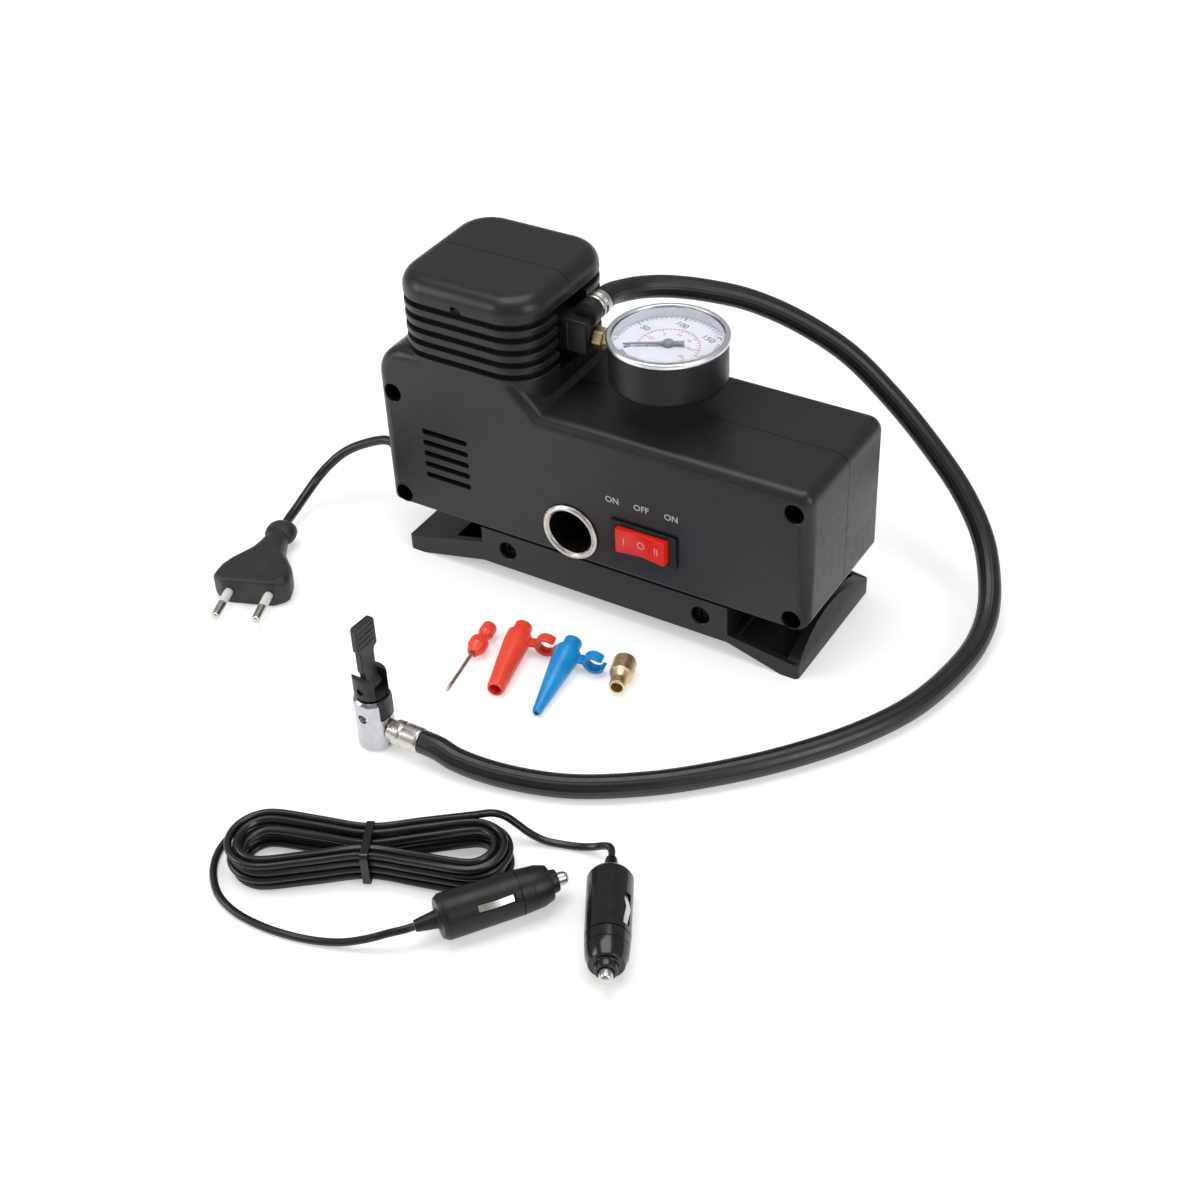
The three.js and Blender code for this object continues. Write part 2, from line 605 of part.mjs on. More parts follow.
function towerOutside() {
  const pedestal = plateXY(towerPlan(0), HOUSING_TOP - HOUSING_BEVEL - 2, PEDESTAL_TOP);
  const core = plateXY(towerPlan(FIN_DEPTH), HOUSING_TOP - HOUSING_BEVEL, CAP_BOTTOM + WALL);
  const cap = plateXY(towerPlan(0), CAP_BOTTOM, CAP_TOP, CAP_ROUND);
  const fins = [];
  for (let i = 0; i < FIN_COUNT; i += 1) {
    const low = PEDESTAL_TOP + FIN_GROOVE + i * (FIN_GROOVE + FIN_THICKNESS);
    fins.push(plateXY(towerPlan(0), low, low + FIN_THICKNESS));
  }
  return join(pedestal, core, cap, ...fins);
}

// The lowest part of the housing, whose front and rear edges are rounded less than the rest.
function housingSkirt() {
  const slab = plateXZ(bodyOutline(0), -HALF_DEPTH, HALF_DEPTH, HOUSING_EDGE);
  const chamfer = HOUSING_BEVEL * (1 - Math.SQRT1_2);
  const corner = [
    [HALF_LENGTH - HOUSING_BEVEL, -HALF_DEPTH], [HALF_LENGTH - chamfer, chamfer - HALF_DEPTH],
    [HALF_LENGTH, HOUSING_BEVEL - HALF_DEPTH],
  ];
  const end = [...corner, ...corner.map(([x, y]) => [x, -y]).reverse()];
  const plan = outline([...end, ...end.map(([x, y]) => [-x, -y])]);
  return common(slab, plateXY(plan, HOUSING_BOTTOM, HOUSING_BOTTOM + SKIRT_HEIGHT));
}

function housingShell() {
  const body = plateXZ(bodyOutline(0), -HALF_DEPTH, HALF_DEPTH, HOUSING_BEVEL);
  const outside = join(body, housingSkirt(), towerOutside());
  const inside = plateXZ(bodyOutline(WALL), -INNER_DEPTH, INNER_DEPTH, HOUSING_BEVEL - WALL);
  const towerInside = plateXY(towerPlan(FIN_DEPTH + WALL), CEILING_Z - WALL, CAP_TOP - WALL);
  const blockOpening = box(
    [TOWER_RIGHT - 3 * (FIN_DEPTH + WALL), TOWER_RIGHT + 1],
    [-OPENING_HALF, OPENING_HALF],
    [COUPLING_Z - OPENING_HEIGHT + FIN_GROOVE, COUPLING_Z + FIN_GROOVE],
  );
  return cut(outside, inside, towerInside, blockOpening);
}

function screwBoss(place, from, to) {
  return rod(BOSS_RADIUS, to - from, [place[0], from, place[1]], [0, 1, 0], 16);
}

function screwHole(place) {
  const shankStart = [place[0], SCREW_HEAD_Y - GAP, place[1]];
  const shank = rod(SCREW_HOLE_RADIUS, SCREW_LENGTH + 1, shankStart, [0, 1, 0], 12);
  const well = rod(SCREW_WELL_RADIUS, SCREW_RECESS + 1, [place[0], FRONT_Y - 1, place[1]], [0, 1, 0], 20);
  return join(shank, well);
}

function motorSaddle(x, from, to) {
  const rib = box([x, x + WALL], [from, to], [FLOOR_Z - 1, CEILING_Z + 1]);
  return cut(rib, rod(MOTOR_RADIUS + GAP, 4 * WALL, [x - WALL, 0, MOTOR_Z], [1, 0, 0], 32));
}

function vents() {
  const x = TOWER_X - VENT_OFFSET;
  const slots = [];
  for (let i = 0; i < VENT_COUNT; i += 1) {
    const z = VENT_Z + (i - (VENT_COUNT - 1) / 2) * VENT_PITCH;
    slots.push(box(around(x, VENT_LENGTH), [FRONT_Y - 1, FRONT_Y + 2 * WALL], around(z, VENT_HEIGHT)));
  }
  return slots;
}

function baseLug(x) {
  const start = FRONT_Y + BASE_RIM + GAP + BOSS_RADIUS;
  const low = BASE_SCREW_Z - LUG_SIZE / 2;
  return box(around(x, LUG_SIZE), [start, start + LUG_SIZE], [low, HOUSING_BOTTOM + 1]);
}

function baseScrewHole(place) {
  return rod(SCREW_HOLE_RADIUS, BASE_SCREW_LENGTH + 9, [place[0], FRONT_Y, place[1]], [0, 1, 0], 12);
}

function glandHole() {
  const inside = -HALF_LENGTH + WALL;
  return join(
    rod(GLAND_NECK_RADIUS + GAP, 3 * WALL, [-HALF_LENGTH - WALL, GLAND_Y, GLAND_Z], [1, 0, 0], 16),
    rod(GLAND_FLANGE_RADIUS + GAP, GLAND_FLANGE + 2 * GAP, [inside, GLAND_Y, GLAND_Z], [1, 0, 0], 16),
  );
}

function frontHousing() {
  const seam = -GAP / 2;
  const half = common(housingShell(), box(WHOLE, [-FAR, seam], WHOLE));
  const bosses = SCREW_PLACES.map((place) => screwBoss(place, FRONT_Y + WALL / 2, seam));
  const saddle = motorSaddle(MOTOR_X + MOTOR_LENGTH * 0.15, -INNER_DEPTH - 1, seam);
  const lugs = BASE_SCREW_PLACES.map((place) => baseLug(place[0]));
  const throughFront = [FRONT_Y - 1, FRONT_Y + 2 * WALL];
  const switchHole = box(around(SWITCH_X, SWITCH_OPENING), throughFront, around(SWITCH_Z, SWITCH_SLOT));
  const catchNotch = box(
    around(TOWER_X, CATCH_WIDTH), [FRONT_Y - 1, FRONT_Y + FIN_DEPTH],
    [CAP_BOTTOM - 1, CAP_BOTTOM + CATCH_HEIGHT]);
  return cut(
    join(half, ...bosses, saddle, ...lugs), ...SCREW_PLACES.map(screwHole), ...vents(), outletRelief(),
    switchHole, catchNotch, ...BASE_SCREW_PLACES.map(baseScrewHole), glandHole());
}

function rearHousing() {
  const seam = GAP / 2;
  const half = common(housingShell(), box(WHOLE, [seam, FAR], WHOLE));
  const bosses = SCREW_PLACES.map((place) => screwBoss(place, seam, HALF_DEPTH - WALL / 2));
  const firstSaddle = motorSaddle(MOTOR_X + MOTOR_LENGTH * 0.15, seam, INNER_DEPTH + 1);
  const secondSaddle = motorSaddle(MOTOR_X + MOTOR_LENGTH * 0.85, seam, INNER_DEPTH + 1);
  const gaugePost = box(
    around(BLOCK_END_X + WALL, WALL + 1), [seam, seam + 4], [CEILING_Z + 1, STEM_Z - STEM_HEX_RADIUS - GAP]);
  const postStart = BOARD_BACK_Y + GAP;
  const boardPosts = BOARD_POSTS.map(([x, z]) => rod(
    BOARD_POST_RADIUS, BOARD_GAP + 1, [x, postStart, z], [0, 1, 0], 12));
  return cut(
    join(half, ...bosses, firstSaddle, secondSaddle, gaugePost, ...boardPosts),
    ...SCREW_PLACES.map(screwHole), outletRelief());
}

function screw(length, recess, sides = 10) {
  const profile = [
    [0, recess], [SCREW_HEAD_RADIUS, recess], [SCREW_HEAD_RADIUS, recess - SCREW_HEAD_HEIGHT + 0.8],
    [SCREW_HEAD_RADIUS - 1.2, recess - SCREW_HEAD_HEIGHT], [0, recess - SCREW_HEAD_HEIGHT],
  ];
  const head = turned(profile, [0, 0, 0], [0, 1, 0], sides);
  const shank = rod(SCREW_SHANK_RADIUS, length - 3, [0, recess - 0.5, 0], [0, 1, 0], sides);
  const point = rod(SCREW_SHANK_RADIUS, 2.6, [0, recess + length - 3.6, 0], [0, 1, 0], sides, 0.4);
  const slotDepth = [recess - SCREW_HEAD_HEIGHT - 1, recess - SCREW_HEAD_HEIGHT + 1.2];
  const slot = (turn) => box(around(0, 4.4), slotDepth, around(0, 0.9)).rotateY(turn);
  return cut(join(head, shank, point), slot(0), slot(Math.PI / 2));
}

// ---------------------------------------------------------------- base
function baseProfile() {
  const top = HOUSING_BOTTOM - GAP;
  return outline([
    [BASE_LEFT_X, 0], [BASE_LEFT_X + BASE_FOOT_LENGTH, 0], [-BASE_BLOCK_LEFT, BASE_ARCH_HEIGHT],
    [BASE_BLOCK_RIGHT, BASE_ARCH_HEIGHT], [BASE_RIGHT_X - BASE_FOOT_LENGTH, 0], [BASE_RIGHT_X, 0],
    [BASE_RIGHT_X, BASE_TIP_HEIGHT], [BASE_BLOCK_RIGHT, BASE_RIGHT_SHOULDER], [BASE_BLOCK_RIGHT, top],
    [-BASE_BLOCK_LEFT, top], [-BASE_BLOCK_LEFT, BASE_LEFT_SHOULDER], [BASE_LEFT_X, BASE_TIP_HEIGHT],
  ]);
}

// The tray in a wing: open upwards, between the block and an outer end whose floor lies lower.
function trayPocket(inner, outer, outerFloor) {
  const shape = outline([
    [inner, BASE_ARCH_HEIGHT + TRAY_FLOOR], [outer, outerFloor], [outer, HOUSING_BOTTOM],
    [inner, HOUSING_BOTTOM],
  ]);
  return plateXZ(shape, FRONT_Y + BASE_RIM, HALF_DEPTH - BASE_RIM);
}

// The raised end of the right wing: an arch that is highest at mid depth, with a sloping outer face.
function endHump() {
  const shape = new THREE.Shape();
  shape.moveTo(-HALF_DEPTH, BASE_TIP_HEIGHT - 2);
  shape.lineTo(HALF_DEPTH, BASE_TIP_HEIGHT - 2);
  shape.lineTo(HALF_DEPTH, BASE_TIP_HEIGHT);
  shape.quadraticCurveTo(0, 2 * BASE_HUMP_HEIGHT - BASE_TIP_HEIGHT, -HALF_DEPTH, BASE_TIP_HEIGHT);
  const depth = BASE_SLOPE + BASE_RIM;
  const arch = new THREE.ExtrudeGeometry(shape, { depth, bevelEnabled: false, curveSegments: 12 });
  arch.rotateX(Math.PI / 2).rotateZ(Math.PI / 2).translate(BASE_RIGHT_X - depth, 0, 0);
  const outside = outline([
    [BASE_RIGHT_X - BASE_SLOPE, BASE_HUMP_HEIGHT],
    [BASE_RIGHT_X + BASE_SLOPE, 2 * BASE_TIP_HEIGHT - BASE_HUMP_HEIGHT],
    [BASE_RIGHT_X + BASE_SLOPE, BASE_HUMP_HEIGHT + 1], [BASE_RIGHT_X - BASE_SLOPE, BASE_HUMP_HEIGHT + 1],
  ]);
  return cut(arch, plateXZ(outside, FRONT_Y - 1, HALF_DEPTH + 1));
}

function base() {
  const block = join(plateXZ(baseProfile(), FRONT_Y, HALF_DEPTH), endHump());
  const leftEnd = -BASE_BLOCK_LEFT - BASE_RIM;
  const rightEnd = BASE_BLOCK_RIGHT + BASE_RIM;
  const trays = [
    trayPocket(leftEnd, leftEnd - LEFT_TRAY_LENGTH, LEFT_TRAY_END_Z),
    trayPocket(rightEnd, BASE_RIGHT_X - BASE_SLOPE - BASE_RIM, RIGHT_TRAY_END_Z),
  ];
  const hollow = box(
    [-BASE_BLOCK_LEFT + BASE_RIM, BASE_BLOCK_RIGHT - BASE_RIM], [FRONT_Y + BASE_RIM, HALF_DEPTH - BASE_RIM],
    [0, HOUSING_BOTTOM - GAP - BASE_RIM]);
  const lugStart = FRONT_Y + BASE_RIM + BOSS_RADIUS;
  const lugHole = LUG_SIZE + 2 * GAP;
  const lugHoles = BASE_SCREW_PLACES.map(([x]) => box(
    around(x, lugHole), [lugStart, lugStart + lugHole], [BASE_ARCH_HEIGHT, HOUSING_BOTTOM]));
  const bosses = BASE_SCREW_PLACES.map(([x, z]) => rod(
    BOSS_RADIUS + 1, BASE_RIM + BOSS_RADIUS - 1, [x, FRONT_Y + 1, z], [0, 1, 0], 16));
  const wells = BASE_SCREW_PLACES.map(([x, z]) => rod(
    SCREW_WELL_RADIUS, BASE_SCREW_RECESS + 1, [x, FRONT_Y - 1, z], [0, 1, 0], 20));
  const screwHoles = BASE_SCREW_PLACES.map(baseScrewHole);
  return cut(join(cut(block, ...trays, hollow), ...bosses), ...lugHoles, ...wells, ...screwHoles);
}

// ---------------------------------------------------------------- 12 V outlet, around its own axis along +Y
function outletSleeve() {
  const tube = OUTLET_BORE_RADIUS + OUTLET_METAL;
  return turned([
    [OUTLET_BORE_RADIUS, -0.6], [OUTLET_BORE_RADIUS + 1, -1.8], [OUTLET_FLANGE_RADIUS - 1, -1.8],
    [OUTLET_FLANGE_RADIUS, -0.9], [OUTLET_FLANGE_RADIUS, -GAP], [tube, -GAP], [tube, OUTLET_DEPTH],
    [OUTLET_BORE_RADIUS, OUTLET_DEPTH], [OUTLET_BORE_RADIUS, -0.6],
  ], [0, 0, 0], [0, 1, 0], 28);
}

function outletInsulator() {
  const tube = OUTLET_BORE_RADIUS + OUTLET_METAL;
  const front = OUTLET_DEPTH - OUTLET_PLUG_DEPTH;
  const back = OUTLET_DEPTH + GAP;
  return turned([
    [CONTACT_RADIUS + GAP, front], [OUTLET_BORE_RADIUS - GAP, front], [OUTLET_BORE_RADIUS - GAP, back],
    [tube, back], [tube, back + 2], [CONTACT_RADIUS + GAP, back + 2], [CONTACT_RADIUS + GAP, front],
  ], [0, 0, 0], [0, 1, 0], 24);
}

function outletContact() {
  const front = OUTLET_DEPTH - OUTLET_PLUG_DEPTH - GAP;
  return turned([
    [0, front - 2.4], [2.5, front - 2], [4.2, front - 0.8], [4.2, front], [CONTACT_RADIUS, front],
    [CONTACT_RADIUS, OUTLET_DEPTH + 5], [0, OUTLET_DEPTH + 5],
  ], [0, 0, 0], [0, 1, 0], 16);
}

// The housing is hollowed a little where the sleeve lies on its floor.
function outletRelief() {
  const radius = OUTLET_BORE_RADIUS + OUTLET_METAL + GAP;
  return rod(radius, OUTLET_DEPTH + WALL + 5, [OUTLET_X, FRONT_Y - WALL, OUTLET_Z], [0, 1, 0], 32);
}

// ---------------------------------------------------------------- switch, about its own centre on the front
function switchBezel() {
  const lip = box(around(0, SWITCH_WIDTH), [-BEZEL_PROUD, -GAP], around(0, SWITCH_HEIGHT));
  const bodyWidth = SWITCH_OPENING - 2 * GAP;
  const bodyHeight = SWITCH_SLOT - 2 * GAP;
  const body = box(around(0, bodyWidth), [-1, SWITCH_DEPTH], around(0, bodyHeight));
  const pocketDepth = [-2 * BEZEL_PROUD, SWITCH_DEPTH - 5];
  const pocket = box(around(0, ROCKER_WIDTH + 2 * GAP), pocketDepth, around(0, ROCKER_HEIGHT + 2 * GAP));
  const holeStart = [0, ROCKER_PIVOT_Y, -bodyHeight / 2 - 1];
  const pinHoles = rod(ROCKER_PIN_RADIUS + 0.2, bodyHeight + 2, holeStart, [0, 0, 1], 12);
  return cut(join(lip, body), pocket, pinHoles);
}

// A rocker with a shallow valley in the middle, on two short pins.
function rocker() {
  const half = ROCKER_WIDTH / 2;
  const shape = outline([
    [1 - half, -ROCKER_RISE], [-half * 0.45, -ROCKER_RISE + 0.9], [0, -ROCKER_RISE + 1.5],
    [half * 0.45, -ROCKER_RISE + 0.9], [half - 1, -ROCKER_RISE], [half - 0.2, 0],
    [half - 0.9, ROCKER_PIVOT_Y], [ROCKER_KEEL, ROCKER_PIVOT_Y + 3.5],
    [-ROCKER_KEEL, ROCKER_PIVOT_Y + 3.5], [0.9 - half, ROCKER_PIVOT_Y], [0.2 - half, 0],
  ]);
  const geometry = new THREE.ExtrudeGeometry(shape, { depth: ROCKER_HEIGHT, bevelEnabled: false });
  geometry.translate(0, 0, -ROCKER_HEIGHT / 2);
  const reach = ROCKER_HEIGHT / 2 + 0.5;
  const pins = rod(ROCKER_PIN_RADIUS, 2 * reach, [0, ROCKER_PIVOT_Y, -reach], [0, 0, 1], 12);
  return join(geometry, pins);
}

// ---------------------------------------------------------------- motor, along +X from its front face
function motorCan() {
  const inner = MOTOR_RADIUS - MOTOR_WALL;
  const bore = SHAFT_RADIUS + GAP;
  return turned([
    [bore, -FRAME_PLATE], [MOTOR_NOSE, -FRAME_PLATE], [MOTOR_NOSE, 0], [MOTOR_RADIUS - 1.5, 0],
    [MOTOR_RADIUS, 1.5], [MOTOR_RADIUS, MOTOR_LENGTH], [inner, MOTOR_LENGTH], [inner, MOTOR_WALL],
    [bore, MOTOR_WALL], [bore, -FRAME_PLATE],
  ], [0, 0, 0], [1, 0, 0], 24);
}

function motorEndCap() {
  const plug = MOTOR_RADIUS - MOTOR_WALL - GAP;
  const disc = turned([
    [SHAFT_RADIUS + GAP, MOTOR_LENGTH - 5], [plug, MOTOR_LENGTH - 5], [plug, MOTOR_LENGTH + GAP],
    [MOTOR_RADIUS - 0.5, MOTOR_LENGTH + GAP], [MOTOR_RADIUS - 1.5, MOTOR_LENGTH + 2],
    [SHAFT_RADIUS + GAP, MOTOR_LENGTH + 2], [SHAFT_RADIUS + GAP, MOTOR_LENGTH - 5],
  ], [0, 0, 0], [1, 0, 0], 18);
  const blade = [MOTOR_LENGTH + 1, MOTOR_LENGTH + TERMINAL_REACH];
  const terminal = (y) => box(blade, around(y, TERMINAL_WIDTH), around(-TERMINAL_DROP, 0.8));
  return join(disc, terminal(-TERMINAL_Y), terminal(TERMINAL_Y));
}

function motorArmature() {
  const core = ARMATURE_RADIUS;
  const coreEnd = MOTOR_LENGTH - ARMATURE_BACKSET;
  const brush = COMMUTATOR_RADIUS;
  const rear = MOTOR_LENGTH + FAN_START + FAN_WIDTH + 0.5;
  const nearWall = MOTOR_WALL + 4;
  return turned([
    [0, -FRAME_PLATE - 10], [SHAFT_RADIUS, -FRAME_PLATE - 10], [SHAFT_RADIUS, nearWall], [core - 3, nearWall],
    [core, nearWall + 4], [core, coreEnd], [core - 3, coreEnd + 4], [brush, coreEnd + 6],
    [brush, coreEnd + 13], [SHAFT_RADIUS, coreEnd + 13], [SHAFT_RADIUS, rear], [0, rear],
  ], [0, 0, 0], [1, 0, 0], 16);
}

function fan() {
  const start = MOTOR_LENGTH + FAN_START;
  const hub = ring(SHAFT_RADIUS + GAP, 4.5, start, start + FAN_WIDTH, [0, 0, 0], [1, 0, 0], 16);
  const blades = [];
  for (let i = 0; i < FAN_BLADES; i += 1) {
    const blade = box(around(0, FAN_WIDTH - 1), around(0, 1.2), [3.5, FAN_RADIUS]);
    blade.rotateZ(0.5).translate(start + FAN_WIDTH / 2, 0, 0).rotateX(2 * Math.PI * i / FAN_BLADES);
    blades.push(blade);
  }
  return join(hub, ...blades);
}

// A spur gear outline in the y-z plane with one tooth, or one gap, straight up.
function gearOutline(teeth, toothUp) {
  const pitchRadius = GEAR_MODULE * teeth / 2;
  const root = pitchRadius - 1.2 * GEAR_MODULE;
  const tip = pitchRadius + 0.8 * GEAR_MODULE;
  const pitchAngle = 2 * Math.PI / teeth;
  const start = Math.PI / 2 + (toothUp ? 0 : pitchAngle / 2);
  const points = [];
  for (let i = 0; i < teeth; i += 1) {
    const centre = start + i * pitchAngle;
    [[root, -0.29], [tip, -0.11], [tip, 0.11], [root, 0.29]].forEach(([radius, part]) => {
      const angle = centre + part * pitchAngle;
      points.push([radius * Math.cos(angle), radius * Math.sin(angle)]);
    });
  }
  return outline(points);
}

function spurGear(teeth, toothUp, width) {
  const shape = gearOutline(teeth, toothUp);
  const geometry = new THREE.ExtrudeGeometry(shape, { depth: width, bevelEnabled: false });
  return geometry.rotateX(Math.PI / 2).rotateZ(Math.PI / 2);
}

// ---------------------------------------------------------------- pump, in the housing's own frame
function pinion() {
  const width = GEAR_WIDTH + 2;
  const gear = spurGear(PINION_TEETH, true, width);
  const bore = rod(SHAFT_RADIUS + 0.15, width + 2, [-1, 0, 0], [1, 0, 0], 12);
  return cut(gear, bore);
}

function crankGear() {
  const width = GEAR_WIDTH;
  const disc = spurGear(GEAR_TEETH, false, width);
  const hub = rod(6, WALL - GAP, [width - 0.5, 0, 0], [1, 0, 0], 20);
  const axle = rod(AXLE_RADIUS, FRAME_PLATE + WALL, [width - 0.5, 0, 0], [1, 0, 0], 16);
  const pinHole = rod(CRANK_PIN_RADIUS + 0.15, width, [-1, 0, CRANK_RADIUS], [1, 0, 0], 12);
  return cut(join(disc, hub, axle), pinHole);
}

function crankPin() {
  const length = GEAR_BACK_X - GEAR_WIDTH - TOWER_X + ROD_THICKNESS / 2 + 1 + GEAR_WIDTH - 1.6;
  return rod(CRANK_PIN_RADIUS, length, [-length + GEAR_WIDTH - 1.6, 0, CRANK_RADIUS], [1, 0, 0], 12);
}

function connectingRod() {
  const half = ROD_THICKNESS / 2;
  const bigEye = rod(5, ROD_THICKNESS, [-half, 0, 0], [1, 0, 0], 20);
  const smallEye = rod(ROD_EYE_RADIUS, ROD_THICKNESS, [-half, 0, ROD_LENGTH], [1, 0, 0], 16);
  const shank = box([-half, half], [-ROD_HALF_WIDTH, ROD_HALF_WIDTH], [0, ROD_LENGTH]);
  const bigHole = rod(CRANK_PIN_RADIUS + 0.1, ROD_THICKNESS + 2, [-half - 1, 0, 0], [1, 0, 0], 12);
  const smallHole = rod(GUDGEON_RADIUS + 0.2, ROD_THICKNESS + 2, [-half - 1, 0, ROD_LENGTH], [1, 0, 0], 12);
  return cut(join(bigEye, smallEye, shank), bigHole, smallHole);
}

// The piston about its gudgeon axis: a hollow skirt with a pin boss on each side of the rod's eye.
function piston() {
  const outer = BORE_RADIUS - PISTON_CLEARANCE;
  const inner = outer - PISTON_WALL;
  const top = PISTON_POCKET + PISTON_CROWN;
  const grooveTop = top - 1.6;
  const grooveLow = grooveTop - SEAL_HEIGHT - 0.4;
  const body = turned([
    [inner, -PISTON_SKIRT], [outer, -PISTON_SKIRT], [outer, grooveLow], [outer - SEAL_DEPTH, grooveLow],
    [outer - SEAL_DEPTH, grooveTop], [outer, grooveTop], [outer, top], [0, top], [0, PISTON_POCKET],
    [inner, PISTON_POCKET], [inner, -PISTON_SKIRT],
  ], [0, 0, 0], [0, 0, 1], 20);
  const reach = inner + 0.5;
  const stub = reach - ROD_THICKNESS / 2 - GAP;
  const bosses = [
    rod(GUDGEON_RADIUS + 1.4, stub - 1, [-reach, 0, 0], [1, 0, 0], 14),
    rod(GUDGEON_RADIUS + 1.4, stub - 1, [reach, 0, 0], [-1, 0, 0], 14),
    rod(GUDGEON_RADIUS, stub, [-reach, 0, 0], [1, 0, 0], 12),
    rod(GUDGEON_RADIUS, stub, [reach, 0, 0], [-1, 0, 0], 12),
  ];
  return join(body, ...bosses);
}

function pistonSeal() {
  const outer = BORE_RADIUS - 0.05;
  const inner = BORE_RADIUS - PISTON_CLEARANCE - SEAL_DEPTH + 0.15;
  const low = PISTON_POCKET + PISTON_CROWN - 1.6 - SEAL_HEIGHT - 0.2;
  return ring(inner, outer, low, low + SEAL_HEIGHT, [0, 0, 0], [0, 0, 1], 20);
}

function cylinder() {
  const top = VALVE_Z - GAP;
  const flange = SHELF_Z + SHELF_THICKNESS + GAP;
  const tube = ring(BORE_RADIUS, CYLINDER_RADIUS, CYLINDER_BOTTOM, top, [0, 0, 0], [0, 0, 1], 20);
  const collar = ring(BORE_RADIUS + 1, CYLINDER_RADIUS + 2.4, flange, flange + 2.5, [0, 0, 0], [0, 0, 1], 20);
  const parts = [tube, collar];
  const spacing = (top - flange - 4) / COOLING_FINS;
  for (let i = 1; i <= COOLING_FINS; i += 1) {
    const low = flange + 2.5 + i * spacing - 2;
    parts.push(ring(BORE_RADIUS + 1, CYLINDER_RADIUS + 3, low, low + 1.4, [0, 0, 0], [0, 0, 1], 20));
  }
  return join(...parts);
}

const headPlan = () => roundedRectangle(HEAD_SIZE / 2, HEAD_SIZE / 2, HEAD_CORNER);

function valvePlate() {
  const plate = plateXY(headPlan(), VALVE_Z, VALVE_Z + VALVE_PLATE_HEIGHT);
  const port = (x) => rod(PORT_RADIUS, VALVE_PLATE_HEIGHT + 4, [x, 0, VALVE_Z - 2], [0, 0, 1], 10);
  return cut(plate, port(-PORT_SHIFT), port(PORT_SHIFT));
}

function cylinderHead() {
  const block = plateXY(headPlan(), HEAD_Z, HEAD_Z + HEAD_HEIGHT);
  const chamber = rod(CHAMBER_RADIUS, 5, [0, 0, HEAD_Z - 1], [0, 0, 1], 16);
  const slotHeights = [HEAD_Z + 8, HEAD_Z + HEAD_HEIGHT + 1];
  const slots = [-1.5, -0.5, 0.5, 1.5].map((step) => box(
    [-HEAD_SIZE, HEAD_SIZE], around(step * HEAD_SLOT_PITCH, HEAD_SLOT), slotHeights));
  const port = rod(DELIVERY_RADIUS, HEAD_SIZE, [0, BLOCK_MIDDLE_Y, HEAD_Z + 3], [1, 0, 0], 10);
  return cut(block, chamber, port, ...slots);
}

function pumpFrame() {
  const shelfTop = SHELF_Z + SHELF_THICKNESS;
  const reach = CYLINDER_RADIUS + FRAME_MARGIN;
  const plate = box([FRAME_X, FRAME_X + FRAME_PLATE], around(0, FRAME_WIDTH), [FLOOR_Z + GAP, shelfTop]);
  const shelf = box([TOWER_X - reach, FRAME_X + 1], [-reach, reach], [SHELF_Z, shelfTop]);
  const gusset = (y) => plateXZ(outline([
    [FRAME_X + 0.5, SHELF_Z + 0.5], [FRAME_X - 14, SHELF_Z + 0.5], [FRAME_X + 0.5, SHELF_Z - 12],
  ]), y, y + GUSSET_THICKNESS);
  const throughPlate = (radius, z) => rod(radius, FRAME_PLATE + 4, [FRAME_X - 2, 0, z], [1, 0, 0], 20);
  const spigotHole = rod(CYLINDER_RADIUS + GAP, 20, [TOWER_X, 0, SHELF_Z - 10], [0, 0, 1], 20);
  const noseHole = throughPlate(MOTOR_NOSE + GAP, MOTOR_Z);
  const axleHole = throughPlate(AXLE_RADIUS + GAP, CRANK_Z);
  const body = join(plate, shelf, gusset(-reach), gusset(reach - GUSSET_THICKNESS));
  return cut(body, spigotHole, noseHole, axleHole);
}

// The outlet block leads air from the head to the gauge stem and the hose coupling.
function manifoldBlock() {
  const start = TOWER_X + HEAD_SIZE / 2 + GAP;
  const halfDepth = (BLOCK_BACK_Y - BLOCK_FRONT_Y) / 2;
  const middleZ = BLOCK_TOP - BLOCK_HEIGHT / 2;
  const shape = roundedRectangle(halfDepth, BLOCK_HEIGHT / 2, 1.5, BLOCK_MIDDLE_Y, middleZ);
  const depth = BLOCK_END_X - start;
  const bar = new THREE.ExtrudeGeometry(shape, { depth, bevelEnabled: false, curveSegments: 3 });
  bar.rotateX(Math.PI / 2).rotateZ(Math.PI / 2).translate(start, 0, 0);
  const neck = rod(FERRULE_RADIUS, 6, [COUPLING_X, BLOCK_BACK_Y, COUPLING_Z], [0, -1, 0], 20);
  const port = rod(DELIVERY_RADIUS, depth - 4, [start - 1, BLOCK_MIDDLE_Y, HEAD_Z + 3], [1, 0, 0], 10);
  return cut(join(bar, neck), port);
}

// ---------------------------------------------------------------- gauge, about its axis from its case's foot
function gaugeCase() {
  const outer = GAUGE_CASE_RADIUS;
  const inner = outer - GAUGE_WALL;
  const ledge = inner - GAUGE_WALL;
  const cup = turned([
    [0, 0], [outer - 3, 0], [outer - 1, 0.9], [outer, 3], [outer, GAUGE_CASE_HEIGHT],
    [inner, GAUGE_CASE_HEIGHT], [inner, DIAL_Z - GAP], [ledge, DIAL_Z - GAP], [ledge, CASE_FLOOR],
    [0, CASE_FLOOR],
  ], [0, 0, 0], [0, 0, 1], 32);
  const stemHole = rod(STEM_RADIUS + 0.15, 8, [-outer - 3, 0, STEM_Z - GAUGE_BOTTOM], [1, 0, 0], 16);
  return cut(cup, stemHole);
}

function gaugeDial() {
  const edge = GAUGE_CASE_RADIUS - GAUGE_WALL - GAP;
  return ring(STAFF_RADIUS + GAP, edge, DIAL_Z, DIAL_Z + DIAL_THICKNESS, [0, 0, 0], [0, 0, 1], 32);
}

